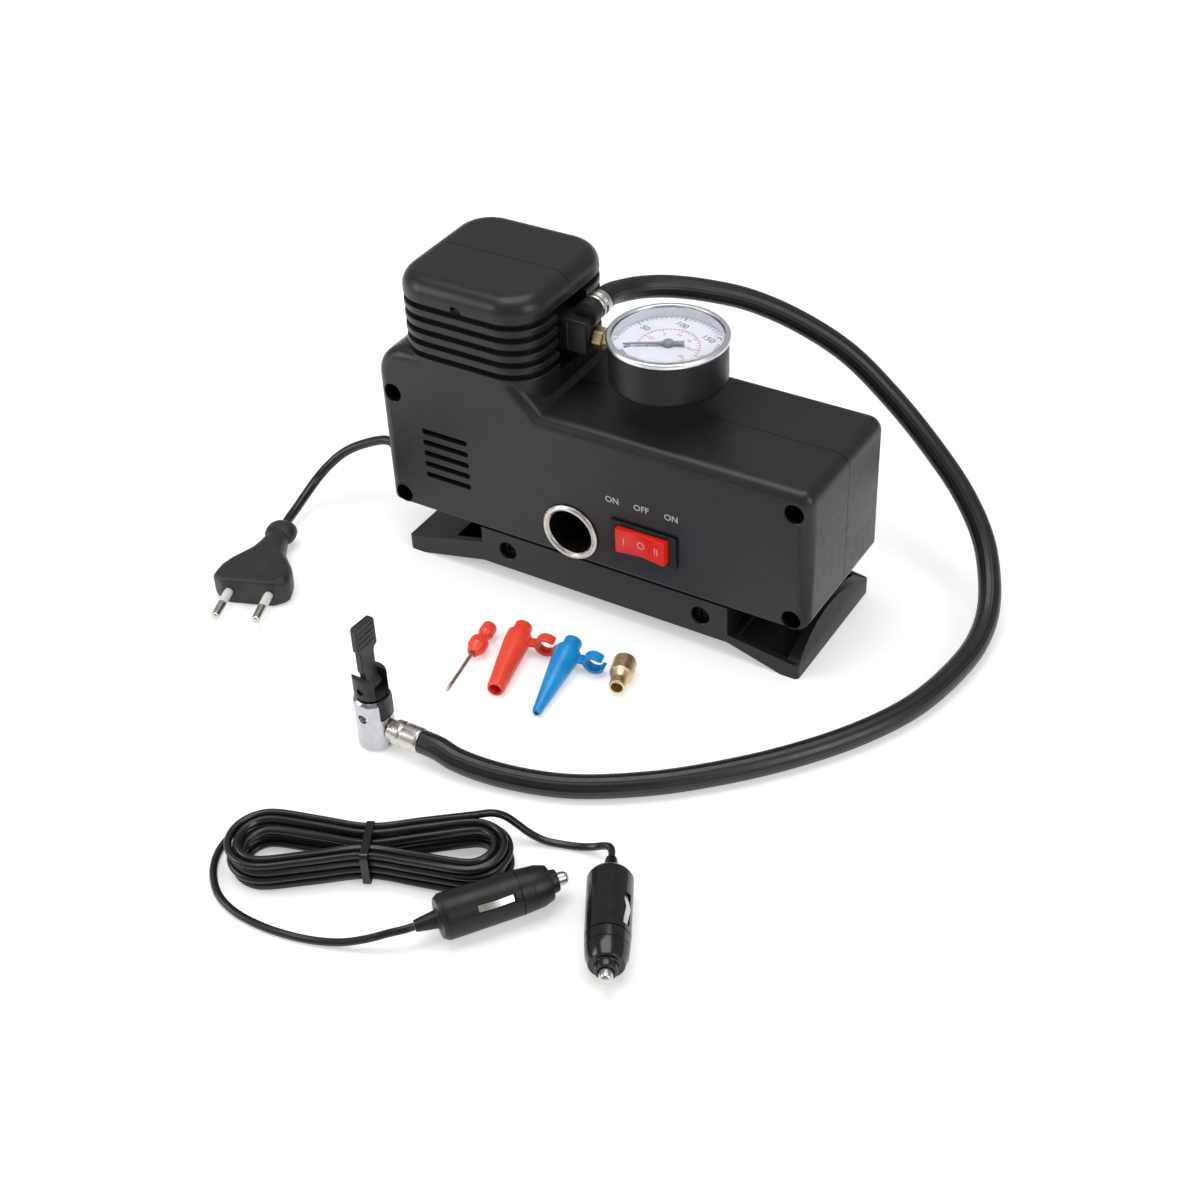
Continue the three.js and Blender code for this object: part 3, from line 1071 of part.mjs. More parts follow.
function gaugeRim() {
  const inner = LENS_RADIUS + GAP;
  const lip = LENS_TOP_RADIUS + GAP;
  const low = LENS_SEAT_Z;
  const top = low + GAUGE_RIM_HEIGHT;
  return turned([
    [inner, low], [GAUGE_RIM_RADIUS - 0.3, low], [GAUGE_RIM_RADIUS, low + 0.3], [GAUGE_RIM_RADIUS, top - 0.6],
    [GAUGE_RIM_RADIUS - 0.6, top], [lip + 0.3, top], [lip, top - 0.3], [lip, LENS_EDGE_Z + GAP],
    [inner, LENS_EDGE_Z + GAP], [inner, low],
  ], [0, 0, 0], [0, 0, 1], 36);
}

function gaugeLens() {
  return turned([
    [0, LENS_SEAT_Z], [LENS_RADIUS, LENS_SEAT_Z], [LENS_RADIUS, LENS_EDGE_Z], [LENS_TOP_RADIUS, LENS_EDGE_Z],
    [LENS_TOP_RADIUS - 1, LENS_EDGE_Z + 0.8], [LENS_TOP_RADIUS / 2, LENS_EDGE_Z + 1.1],
    [0, LENS_EDGE_Z + 1.2],
  ], [0, 0, 0], [0, 0, 1], 32);
}

function gaugeNeedle() {
  const low = DIAL_Z + DIAL_THICKNESS + GAP;
  const depth = DIAL_Z - CASE_FLOOR - 2 * GAP;
  const staff = rod(STAFF_RADIUS, low - DIAL_Z + depth, [0, 0, DIAL_Z - depth], [0, 0, 1], 10);
  const hub = rod(2.2, 2, [0, 0, low], [0, 0, 1], 16);
  const hand = outline([[NEEDLE_LENGTH, 0], [4, 1], [-6.5, 1.2], [-6.5, -1.2], [4, -1]]);
  return join(staff, hub, plateXY(hand, low + 0.5, low + 1.2));
}

function gaugeStem() {
  const nutStart = BLOCK_END_X + GAP;
  const nut = rod(STEM_HEX_RADIUS, 4.6, [nutStart, 0, 0], [1, 0, 0], 6);
  const caseWall = GAUGE_X - GAUGE_CASE_RADIUS;
  const shank = rod(STEM_RADIUS, caseWall + GAUGE_WALL + 1 - nutStart, [nutStart, 0, 0], [1, 0, 0], 16);
  return join(nut, shank);
}

// ---------------------------------------------------------------- hose ends
function hoseCoupling() {
  const radius = FERRULE_RADIUS;
  const end = COUPLING_LENGTH - GAP;
  return turned([
    [0, 0], [radius - 0.4, 0], [radius, 0.6], [radius, 2], [radius - FERRULE_GROOVE, 2.4],
    [radius - FERRULE_GROOVE, 3.2], [radius, 3.6], [radius, end - 0.7], [radius - 0.5, end], [0, end],
  ], [0, 0, 0], [0, 1, 0], 20);
}

function hoseFerrule() {
  const radius = FERRULE_RADIUS;
  const end = CHUCK_FERRULE_LENGTH - GAP;
  return turned([
    [0, 0], [FERRULE_NECK, 0], [FERRULE_NECK, 2.5], [radius, 3], [radius, 6], [radius - FERRULE_GROOVE, 6.4],
    [radius - FERRULE_GROOVE, 7.2], [radius, 7.6], [radius, end - 0.8], [radius - 0.5, end], [0, end],
  ], [0, 0, 0], [1, 0, 0], 16);
}

// ---------------------------------------------------------------- chuck, standing on its mouth
function chuckBody() {
  const body = turned([
    [CHUCK_BORE_RADIUS, 0], [CHUCK_RADIUS - 1, 0], [CHUCK_RADIUS, 1], [CHUCK_RADIUS, CHUCK_HEIGHT - 1.2],
    [CHUCK_RADIUS - 1.2, CHUCK_HEIGHT], [0, CHUCK_HEIGHT], [0, CHUCK_BORE_DEPTH],
    [CHUCK_BORE_RADIUS, CHUCK_BORE_DEPTH], [CHUCK_BORE_RADIUS, 0],
  ], [0, 0, 0], [0, 0, 1], 20);
  const flat = box(
    [CHUCK_RADIUS - CHUCK_FLAT, CHUCK_RADIUS + 1], around(0, FLAT_SIZE), around(CHUCK_HOSE_Z, FLAT_SIZE));
  const slot = box([TONGUE_X, CHUCK_RADIUS + 1], around(0, TONGUE_WIDTH), [TONGUE_Z, CHUCK_HEIGHT + 1]);
  const sideHole = rod(VALVE_HOLE_RADIUS, 3, [0, -CHUCK_RADIUS - 1, VALVE_HOLE_Z], [0, 1, 0], 14);
  return cut(body, flat, slot, sideHole);
}

function chuckCollar() {
  const body = rod(COLLAR_RADIUS, COLLAR_HEIGHT, [0, 0, COLLAR_Z], [0, 0, 1], 24);
  const foot = rod(COLLAR_RADIUS - 0.8, COLLAR_HEIGHT, [0, 0, COLLAR_Z], [0, 0, 1], 24);
  const trimmed = join(foot, cut(body, box([-9, 9], [-9, 9], [COLLAR_Z - 1, COLLAR_Z + 1.5])));
  const tongue = common(
    rod(CHUCK_RADIUS - 0.2, COLLAR_Z - TONGUE_Z, [0, 0, TONGUE_Z + GAP], [0, 0, 1], 24),
    box([TONGUE_X + GAP, CHUCK_RADIUS], around(0, TONGUE_WIDTH - 2 * GAP), [TONGUE_Z, COLLAR_Z + 2]));
  const slotFloor = LEVER_Z - LEVER_THICKNESS - 0.5;
  const slot = box([-9, 9], around(0, LEVER_STEM + 2 * GAP), [slotFloor, COLLAR_Z + COLLAR_HEIGHT + 1]);
  const pinHole = rod(LEVER_PIN_RADIUS + 0.2, 20, [0, -10, LEVER_Z], [0, 1, 0], 14);
  return cut(join(trimmed, tongue), slot, pinHole);
}

// The thumb lever about its pivot, standing up.
function chuckLever() {
  const half = LEVER_THICKNESS / 2;
  const stem = LEVER_STEM / 2;
  const paddle = LEVER_PADDLE / 2;
  const eye = rod(LEVER_THICKNESS, LEVER_STEM, [0, -stem, 0], [0, 1, 0], 18);
  const shape = outline([
    [-stem, 0], [stem, 0], [stem, 7], [stem - 0.5, 9], [stem - 0.5, 15], [paddle, 17.5],
    [paddle, LEVER_REACH - 1], [-paddle, LEVER_REACH], [-paddle, 20], [-stem - 1, 18.5],
    [-stem - 1, 9], [-stem, 7],
  ]);
  const geometry = new THREE.ExtrudeGeometry(shape, { depth: LEVER_THICKNESS, bevelEnabled: false });
  geometry.rotateX(Math.PI / 2).rotateZ(Math.PI / 2).translate(-half, 0, 0);
  const pinReach = LEVER_STEM / 2 + 2;
  const pins = rod(LEVER_PIN_RADIUS, 2 * pinReach, [0, -pinReach, 0], [0, 1, 0], 14);
  return join(eye, geometry, pins);
}

// ---------------------------------------------------------------- mains cord's ends
// The tapered strain relief, along -X from the housing's end wall.
function mainsGland() {
  const neck = GLAND_NECK_RADIUS;
  const back = WALL + GAP;
  return turned([
    [0, -back - GLAND_FLANGE], [GLAND_FLANGE_RADIUS, -back - GLAND_FLANGE], [GLAND_FLANGE_RADIUS, -back],
    [neck, -back], [neck, GAP],
    [neck + 1.4, GAP], [neck + 1.4, 2.6], [neck, 4.2], [MAINS_RADIUS + 0.6, GLAND_LENGTH - GAP],
    [0, GLAND_LENGTH - GAP],
  ], [0, 0, 0], [-1, 0, 0], 16);
}

// The two-pin plug, along +X from the knob at its neck to its face.
function mainsPlug() {
  const face = PLUG_LENGTH;
  const edge = [
    [0, 3.2], [0.2 * face, PLUG_NECK], [0.46 * face, 0.24 * PLUG_WIDTH], [0.58 * face, 0.35 * PLUG_WIDTH],
    [0.76 * face, 0.48 * PLUG_WIDTH], [0.9 * face, PLUG_WIDTH / 2], [face, PLUG_FACE / 2],
  ];
  const shape = outline([...edge.map(([x, y]) => [x, -y]), ...[...edge].reverse()]);
  const slab = new THREE.ExtrudeGeometry(shape, { depth: 2 * PLUG_HALF_HEIGHT, bevelEnabled: false });
  slab.translate(0, 0, -PLUG_HALF_HEIGHT);
  const side = outline([
    [-1, -3.2], [0.35 * face, -PLUG_NECK], [0.65 * face, -PLUG_HALF_HEIGHT], [face + 1, -PLUG_HALF_HEIGHT],
    [face + 1, PLUG_HALF_HEIGHT], [0.65 * face, PLUG_HALF_HEIGHT], [0.35 * face, PLUG_NECK], [-1, 3.2],
  ]);
  const body = common(slab, plateXZ(side, -PLUG_WIDTH, PLUG_WIDTH));
  const holes = [-1, 1].map((end) => rod(
    PIN_RADIUS + 0.15, PIN_SEAT + 1, [face - PIN_SEAT, end * PIN_SPACING / 2, 0], [1, 0, 0], 14));
  const knob = turned([
    [0, 0], [PLUG_KNOB_RADIUS - 1.6, 0], [PLUG_KNOB_RADIUS - 0.3, 1.6], [PLUG_KNOB_RADIUS, PLUG_KNOB_X],
    [PLUG_KNOB_RADIUS - 0.3, 2 * PLUG_KNOB_X - 1.6], [PLUG_KNOB_RADIUS - 1.6, 2 * PLUG_KNOB_X],
    [0, 2 * PLUG_KNOB_X],
  ], [0, 0, 0], [1, 0, 0], 16).scale(1, PLUG_KNOB_STRETCH, 1);
  return cut(join(body, knob), ...holes);
}

function mainsPin(end) {
  const start = PLUG_LENGTH - PIN_SEAT + GAP;
  const length = PIN_SEAT + PIN_LENGTH - GAP;
  return turned([
    [0, 0], [PIN_RADIUS, 0], [PIN_RADIUS, length - 1], [PIN_RADIUS - 0.9, length], [0, length],
  ], [start, end * PIN_SPACING / 2, 0], [1, 0, 0], 14);
}

// ---------------------------------------------------------------- 12 V plug, along +X from its strain relief
function dcPlug() {
  const front = DC_BODY_END - 4;
  return turned([
    [0, 0], [LEAD_RADIUS + 0.7, 0], [3.4, DC_RELIEF_LENGTH - 1], [4.6, DC_RELIEF_LENGTH],
    [DC_PLUG_RADIUS - 1.2, DC_BODY_START], [DC_PLUG_RADIUS, DC_BODY_START + 2],
    [DC_PLUG_RADIUS - 0.3, front - 8], [DC_PLUG_RADIUS - 0.9, front], [DC_PLUG_RADIUS - 2.2, DC_BODY_END],
    [DC_TIP_RADIUS + 2, DC_BODY_END],
    [DC_TIP_RADIUS + 1.6, DC_BODY_END + DC_NOSE_LENGTH], [DC_TIP_RADIUS + GAP, DC_BODY_END + DC_NOSE_LENGTH],
    [DC_TIP_RADIUS + GAP, DC_BODY_END - 6], [0, DC_BODY_END - 6],
  ], [0, 0, 0], [1, 0, 0], 18);
}

function dcPlugTip() {
  const start = DC_BODY_END - 6 + GAP + DC_TIP_TRAVEL;
  const end = DC_BODY_END + DC_NOSE_LENGTH + DC_TIP_LENGTH;
  return turned([
    [0, start], [DC_TIP_RADIUS, start], [DC_TIP_RADIUS, end - 2], [DC_TIP_RADIUS - 0.8, end - 0.6], [0, end],
  ], [0, 0, 0], [1, 0, 0], 16);
}

// ---------------------------------------------------------------- wound lead
// One point of the hank's centre line, counted in steps from the middle of the first rear run. Each turn
// runs along the rear side, round the +X end, back along the front side and round the -X end. The turns
// spiral in and out in turn, and climb to the next layer while the spiral turns back on the rear side.
function hankPoint(step) {
  const turn = step / LOOP_STEPS;
  const pair = THREE.MathUtils.clamp(Math.floor(turn / (2 * LAYER_TURNS)), 0, HANK_LAYERS / 2 - 1);
  const pairTurn = turn - 2 * LAYER_TURNS * pair;
  const reach = HANK_HALF_WIDTH - LEAD_PITCH * (LAYER_TURNS - Math.abs(pairTurn - LAYER_TURNS));
  let layer = 0;
  for (let i = 1; i < HANK_LAYERS; i += 1) {
    layer += THREE.MathUtils.smoothstep(turn, i * LAYER_TURNS - 0.25, i * LAYER_TURNS + 0.25);
  }
  const z = HANK_BOTTOM + LEAD_RADIUS + LEAD_PITCH * layer;
  const halfTurn = LOOP_STEPS / 2;
  const count = Math.floor((step + RUN_STEPS / 2) / halfTurn);
  const place = step + RUN_STEPS / 2 - count * halfTurn;
  const side = count % 2 === 0 ? 1 : -1;
  if (place <= RUN_STEPS) {
    const along = (2 * place / RUN_STEPS - 1) * HANK_STRAIGHT;
    const drawn = HANK_WAIST * Math.cos(Math.PI / 2 * along / HANK_STRAIGHT) ** 2;
    return new THREE.Vector3(side * along, side * (reach - drawn), z);
  }
  const angle = Math.PI * (place - RUN_STEPS) / END_STEPS;
  const along = HANK_STRAIGHT + reach * Math.sin(angle);
  return new THREE.Vector3(side * along, side * reach * Math.cos(angle), z);
}

function hankCentreLine() {
  const points = [];
  const last = HANK_LAYERS * LAYER_TURNS * LOOP_STEPS + RUN_STEPS / 2;
  for (let step = -1; step <= last; step += 1) points.push(hankPoint(step));
  const leadOut = (end, next) => {
    const heading = end.clone().sub(next).setZ(0).normalize();
    return end.clone().addScaledVector(heading, 2 * LEAD_RADIUS);
  };
  points.unshift(leadOut(points[0], points[1]));
  points.push(leadOut(points[points.length - 1], points[points.length - 2]));
  return points;
}

// A tube of six-sided rings on a line of points, closed at both ends.
function tubeOnPoints(points, radius, sides) {
  const vertices = [];
  const faces = [];
  const up = new THREE.Vector3(0, 0, 1);
  points.forEach((point, i) => {
    const before = points[Math.max(0, i - 1)];
    const after = points[Math.min(points.length - 1, i + 1)];
    const heading = after.clone().sub(before).normalize();
    const across = heading.clone().cross(up).normalize();
    const lift = across.clone().cross(heading);
    for (let k = 0; k < sides; k += 1) {
      const angle = 2 * Math.PI * k / sides;
      const corner = point.clone().addScaledVector(across, radius * Math.cos(angle));
      vertices.push(...corner.addScaledVector(lift, radius * Math.sin(angle)).toArray());
    }
  });
  for (let i = 0; i + 1 < points.length; i += 1) {
    for (let k = 0; k < sides; k += 1) {
      const [a, b] = [i * sides + k, i * sides + (k + 1) % sides];
      faces.push(a, b, a + sides, b, b + sides, a + sides);
    }
  }
  const last = (points.length - 1) * sides;
  for (let k = 1; k + 1 < sides; k += 1) {
    faces.push(0, k + 1, k, last, last + k, last + k + 1);
  }
  const geometry = new THREE.BufferGeometry();
  geometry.setAttribute('position', new THREE.Float32BufferAttribute(vertices, 3));
  geometry.setIndex(faces);
  return geometry;
}

// The least distance between turns of a tube, from its surface to its surface.
function leastGap(points, radius, apart) {
  let least = Infinity;
  const samples = [];
  points.forEach((point, i) => {
    if (i === 0) return;
    for (let k = 0; k < 4; k += 1) samples.push(points[i - 1].clone().lerp(point, k / 4));
  });
  const travelled = [0];
  for (let i = 1; i < samples.length; i += 1) {
    travelled.push(travelled[i - 1] + samples[i].distanceTo(samples[i - 1]));
  }
  for (let i = 0; i < samples.length; i += 1) {
    for (let j = i + 1; j < samples.length; j += 1) {
      if (travelled[j] - travelled[i] > apart) least = Math.min(least, samples[i].distanceTo(samples[j]));
    }
  }
  return least - 2 * radius;
}

// ---------------------------------------------------------------- adapters, each along +X on its own axis
function needleHead() {
  const end = NEEDLE_HEAD_LENGTH;
  const hole = NEEDLE_TUBE_RADIUS + 0.15;
  return turned([
    [0, 0], [2, 0.2], [NEEDLE_KNOB_RADIUS, 1.8], [NEEDLE_KNOB_RADIUS, 6], [2.3, 8.2], [2.3, 9.6],
    [NEEDLE_HEAD_RADIUS, 11.6], [NEEDLE_HEAD_RADIUS, 15.4], [2.2, end], [hole, end],
    [hole, end - NEEDLE_SEAT], [0, end - NEEDLE_SEAT],
  ], [0, 0, 0], [1, 0, 0], 18);
}

function needleTube() {
  const start = NEEDLE_HEAD_LENGTH - NEEDLE_SEAT + GAP;
  const length = NEEDLE_TUBE_LENGTH + NEEDLE_SEAT - GAP;
  return turned([
    [0, 0], [NEEDLE_TUBE_RADIUS, 0], [NEEDLE_TUBE_RADIUS, length - 1.2], [0.4, length], [0, length],
  ], [start, 0, 0], [1, 0, 0], 12);
}

// A tapered nozzle with its bore, and an arm with an open clip beside it.
function nozzle({ length, tipRadius }) {
  const cone = turned([
    [NOZZLE_BORE, 0], [NOZZLE_NECK_RADIUS, 0], [NOZZLE_NECK_RADIUS, NOZZLE_NECK],
    [NOZZLE_RADIUS, NOZZLE_NECK + 1], [NOZZLE_RADIUS, NOZZLE_SHOULDER], [tipRadius, length - 1],
    [tipRadius - 0.5, length],
    [tipRadius - NOZZLE_WALL, length], [NOZZLE_BORE, NOZZLE_NECK + 8], [NOZZLE_BORE, 0],
  ], [0, 0, 0], [1, 0, 0], 18);
  const clipLength = around(CLIP_X, CLIP_WIDTH);
  const armEnd = CLIP_Y - CLIP_RADIUS + CLIP_THICKNESS / 2;
  const arm = box(clipLength, [NOZZLE_RADIUS - 1, armEnd], around(0, CLIP_THICKNESS));
  const inner = CLIP_RADIUS - CLIP_THICKNESS;
  const hoop = ring(inner, CLIP_RADIUS, ...clipLength, [0, CLIP_Y, 0], [1, 0, 0], 18);
  const mouth = box(around(CLIP_X, CLIP_WIDTH + 2), [CLIP_Y + 1, CLIP_Y + CLIP_RADIUS + 2], [-1.2, 2.8]);
  return join(cone, arm, cut(hoop, mouth));
}

// How far a nozzle tips forward when it lies on its shoulder and its tip.
function nozzleTilt({ length, tipRadius }) {
  return Math.atan((NOZZLE_RADIUS - tipRadius) / (length - NOZZLE_SHOULDER));
}

function valveAdapter() {
  return turned([
    [1.6, 0], [ADAPTER_RADIUS - 0.4, 0], [ADAPTER_RADIUS, 0.5], [ADAPTER_RADIUS, 9],
    [ADAPTER_RADIUS - 0.8, 10.5], [ADAPTER_NOSE, 13], [ADAPTER_NOSE, ADAPTER_LENGTH - 0.4],
    [ADAPTER_NOSE - 0.4, ADAPTER_LENGTH],
    [ADAPTER_BORE, ADAPTER_LENGTH], [ADAPTER_BORE, ADAPTER_LENGTH - 5], [1.6, ADAPTER_LENGTH - 6], [1.6, 0],
  ], [0, 0, 0], [1, 0, 0], 18);
}

// ---------------------------------------------------------------- power supply board
// A part standing off the board towards the front.
function boardBox([width, reach, height], x, rise) {
  const front = BOARD_BACK_Y - BOARD_THICKNESS;
  return box(around(x, width), [front - reach, front + 0.5], around(BOARD_LOW_Z + rise, height));
}

function powerBoard() {
  const front = BOARD_BACK_Y - BOARD_THICKNESS;
  const plate = box([BOARD_LEFT_X, BOARD_RIGHT_X], [front, BOARD_BACK_Y], [BOARD_LOW_Z, BOARD_TOP_Z]);
  const [inset, rise] = CAPACITOR_PLACE;
  const capacitorStart = [BOARD_RIGHT_X - inset, front + 0.5, BOARD_LOW_Z + rise];
  const capacitor = rod(CAPACITOR_RADIUS, CAPACITOR_HEIGHT, capacitorStart, [0, -1, 0], 16);
  const transformerX = BOARD_RIGHT_X - TRANSFORMER_PLACE[0];
  const transformer = boardBox(TRANSFORMER_SIZE, transformerX, TRANSFORMER_PLACE[1]);
  const heatSink = boardBox(HEAT_SINK_SIZE, BOARD_LEFT_X + HEAT_SINK_PLACE[0], HEAT_SINK_PLACE[1]);
  return join(plate, transformer, heatSink, capacitor);
}

// ---------------------------------------------------------------- assembly
const kit = new THREE.Group();
kit.position.set(0, KIT_SHIFT_Y, 0);

add(kit, 'front_housing', frontHousing(), BLACK_PLASTIC);
add(kit, 'rear_housing', rearHousing(), BLACK_PLASTIC);
add(kit, 'base', base(), BLACK_PLASTIC);

SCREW_PLACES.forEach(([x, z], i) => {
  const shape = screw(SCREW_LENGTH, SCREW_RECESS - 2 * GAP);
  add(addGroup(kit, [x, FRONT_Y, z]), `housing_screw_${i + 1}`, shape, DARK_STEEL);
});
BASE_SCREW_PLACES.forEach(([x, z], i) => {
  const recess = BASE_SCREW_RECESS - GAP;
  add(addGroup(kit, [x, FRONT_Y, z]), `base_screw_${i + 1}`, screw(BASE_SCREW_LENGTH, recess), DARK_STEEL);
});

const outlet = addGroup(kit, [OUTLET_X, FRONT_Y, OUTLET_Z]);
add(outlet, 'outlet_sleeve', outletSleeve(), NICKEL);
add(outlet, 'outlet_insulator', outletInsulator(), BLACK_PLASTIC);
add(outlet, 'outlet_center_contact', outletContact(), BRASS);

const powerSwitch = addGroup(kit, [SWITCH_X, FRONT_Y, SWITCH_Z]);
add(powerSwitch, 'switch_bezel', switchBezel(), BLACK_PLASTIC);
add(powerSwitch, 'switch_rocker', rocker(), RED_PLASTIC);

const motor = addGroup(kit, [MOTOR_X, 0, MOTOR_Z]);
add(motor, 'motor_can', motorCan(), STEEL);
add(motor, 'motor_end_cap', motorEndCap(), BLACK_PLASTIC);
add(motor, 'motor_armature', motorArmature(), STEEL);
add(motor, 'cooling_fan', fan(), BLACK_PLASTIC);
add(kit, 'power_board', powerBoard(), BOARD);

add(kit, 'pump_frame', pumpFrame(), ALUMINIUM);
add(addGroup(kit, [GEAR_BACK_X - GEAR_WIDTH - 1, 0, MOTOR_Z]), 'drive_pinion', pinion(), BRASS);
const crank = addGroup(kit, [GEAR_BACK_X - GEAR_WIDTH, 0, CRANK_Z]);
add(crank, 'crank_gear', crankGear(), NYLON);
add(crank, 'crank_pin', crankPin(), STEEL);
const pump = addGroup(kit, [TOWER_X, 0, 0]);
add(addGroup(pump, [0, 0, CRANK_Z + CRANK_RADIUS]), 'connecting_rod', connectingRod(), ALUMINIUM);
const pistonGroup = addGroup(pump, [0, 0, GUDGEON_Z]);
add(pistonGroup, 'piston', piston(), ALUMINIUM);
add(pistonGroup, 'piston_seal', pistonSeal(), BLACK_RUBBER);
add(pump, 'cylinder', cylinder(), ALUMINIUM);
add(pump, 'valve_plate', valvePlate(), STEEL);
add(pump, 'cylinder_head', cylinderHead(), ALUMINIUM);
add(kit, 'manifold_block', manifoldBlock(), BLACK_PLASTIC);

const gauge = addGroup(kit, [GAUGE_X, 0, GAUGE_BOTTOM]);
add(gauge, 'gauge_case', gaugeCase(), BLACK_PLASTIC);
add(gauge, 'gauge_dial', gaugeDial(), WHITE_DIAL);
add(gauge, 'gauge_rim', gaugeRim(), CHROME);
add(gauge, 'gauge_lens', gaugeLens(), CLEAR_LENS);
add(addGroup(gauge, [0, 0, 0], turnZ(GAUGE_ZERO)), 'gauge_needle', gaugeNeedle(), DARK_STEEL);
add(addGroup(kit, [0, 0, STEM_Z]), 'gauge_stem', gaugeStem(), BRASS);

add(addGroup(kit, [COUPLING_X, COUPLING_START, COUPLING_Z]), 'hose_coupling', hoseCoupling(), NICKEL);
add(kit, 'air_hose', cordTube(HOSE_ROUTE, HOSE_RADIUS, HOSE_SIDES, 2.4 * 2 * HOSE_RADIUS), BLACK_RUBBER);
const chuck = addGroup(kit, [CHUCK_X, CHUCK_Y, LIFT]);
add(chuck, 'chuck_body', chuckBody(), CHROME);
add(chuck, 'chuck_collar', chuckCollar(), BLACK_PLASTIC);
add(addGroup(chuck, [0, 0, LEVER_Z]), 'chuck_lever', chuckLever(), BLACK_PLASTIC);
const ferrulePlace = [CHUCK_RADIUS - CHUCK_FLAT + GAP, 0, CHUCK_HOSE_Z - LIFT];
add(addGroup(chuck, ferrulePlace), 'hose_ferrule', hoseFerrule(), NICKEL);

add(addGroup(kit, [-HALF_LENGTH, GLAND_Y, GLAND_Z]), 'mains_gland', mainsGland(), BLACK_RUBBER);
add(kit, 'mains_cord', cordTube(MAINS_ROUTE, MAINS_RADIUS, 8, 2.5 * 2 * MAINS_RADIUS), BLACK_RUBBER);
const mainsEnd = addGroup(kit, [...MAINS_PLUG_PLACE, PLUG_HALF_HEIGHT + LIFT], turnZ(MAINS_PLUG_HEADING));
add(mainsEnd, 'mains_plug', mainsPlug(), BLACK_RUBBER);
add(mainsEnd, 'mains_pin_1', mainsPin(1), NICKEL);
add(mainsEnd, 'mains_pin_2', mainsPin(-1), NICKEL);

const hankLine = hankCentreLine();
const hank = addGroup(kit, [HANK_X, HANK_Y, 0], turnZ(HANK_HEADING));
add(hank, 'dc_hank', tubeOnPoints(hankLine, LEAD_RADIUS, 6), BLACK_RUBBER);
const hankGap = leastGap(hankLine, LEAD_RADIUS, 4 * LEAD_PITCH);
console.log(`least gap of the hank to itself: ${hankGap.toFixed(2)} mm`);
add(kit, 'dc_lead_1', cordTube(LEAD_1_ROUTE, LEAD_RADIUS, 8, 2.6 * 2 * LEAD_RADIUS), BLACK_RUBBER);
add(kit, 'dc_lead_2', cordTube(LEAD_2_ROUTE, LEAD_RADIUS, 8, 2.6 * 2 * LEAD_RADIUS), BLACK_RUBBER);
DC_PLUG_PLACES.forEach(([x, y, heading], i) => {
  const plug = addGroup(kit, [x, y, DC_PLUG_RADIUS + LIFT], turnZ(heading));
  add(plug, `dc_plug_${i + 1}`, dcPlug(), BLACK_PLASTIC);
  add(plug, `dc_plug_tip_${i + 1}`, dcPlugTip(), NICKEL);
});

// A flat wire tie goes round the hank's waist, clear of its turns.
function hankTie() {
  const innerHalf = HANK_HALF_WIDTH - HANK_WAIST + LEAD_RADIUS + 2 * GAP;
  const innerTop = HANK_BOTTOM + LEAD_PITCH * (HANK_LAYERS - 1) + 2 * LEAD_RADIUS + GAP;
  const middle = (LIFT + TIE_THICKNESS + innerTop) / 2;
  const halfHeight = innerTop - middle;
  const hoop = roundedRectangle(innerHalf + TIE_THICKNESS, halfHeight + TIE_THICKNESS, 2, 0, middle);
  hoop.holes.push(roundedRectangle(innerHalf, halfHeight, 1.5, 0, middle));
  const strip = new THREE.ExtrudeGeometry(hoop, { depth: TIE_WIDTH, bevelEnabled: false, curveSegments: 2 });
  return strip.rotateX(Math.PI / 2).rotateZ(Math.PI / 2).translate(-TIE_WIDTH / 2, 0, 0);
}
add(hank, 'hank_tie', hankTie(), BLACK_PLASTIC);

const needleGroup = addGroup(kit, [...NEEDLE_START, NEEDLE_HEAD_RADIUS + LIFT], turnZ(NEEDLE_HEADING));
add(needleGroup, 'ball_needle_head', needleHead(), RED_PLASTIC);
add(needleGroup, 'ball_needle', needleTube(), STEEL);
function addNozzle(name, kind, [x, y], heading, material) {
  const tilt = nozzleTilt(kind);
  const height = NOZZLE_RADIUS + 2 * LIFT + NOZZLE_SHOULDER * Math.sin(tilt);
  const place = addGroup(kit, [x, y, height], turnZ(heading));
  add(addGroup(place, [0, 0, 0], [0, tilt, 0]), name, nozzle(kind), material);
}

addNozzle('red_nozzle', RED_NOZZLE, RED_NOZZLE_PLACE, RED_NOZZLE_HEADING, RED_PLASTIC);
addNozzle('blue_nozzle', BLUE_NOZZLE, BLUE_NOZZLE_PLACE, BLUE_NOZZLE_HEADING, BLUE_PLASTIC);
const adapterGroup = addGroup(kit, [...ADAPTER_PLACE, ADAPTER_RADIUS + LIFT], turnZ(ADAPTER_HEADING));
add(adapterGroup, 'valve_adapter', valveAdapter(), BRASS);

kit.updateMatrixWorld(true);
export default kit;
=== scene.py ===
"""Looks of the portable tire inflator around its CAD frame. Metres, +Z up; shapes are in millimetres."""
import math
from math import cos, pi, radians, sin

import bmesh
import bpy
from mathutils import Matrix, Vector

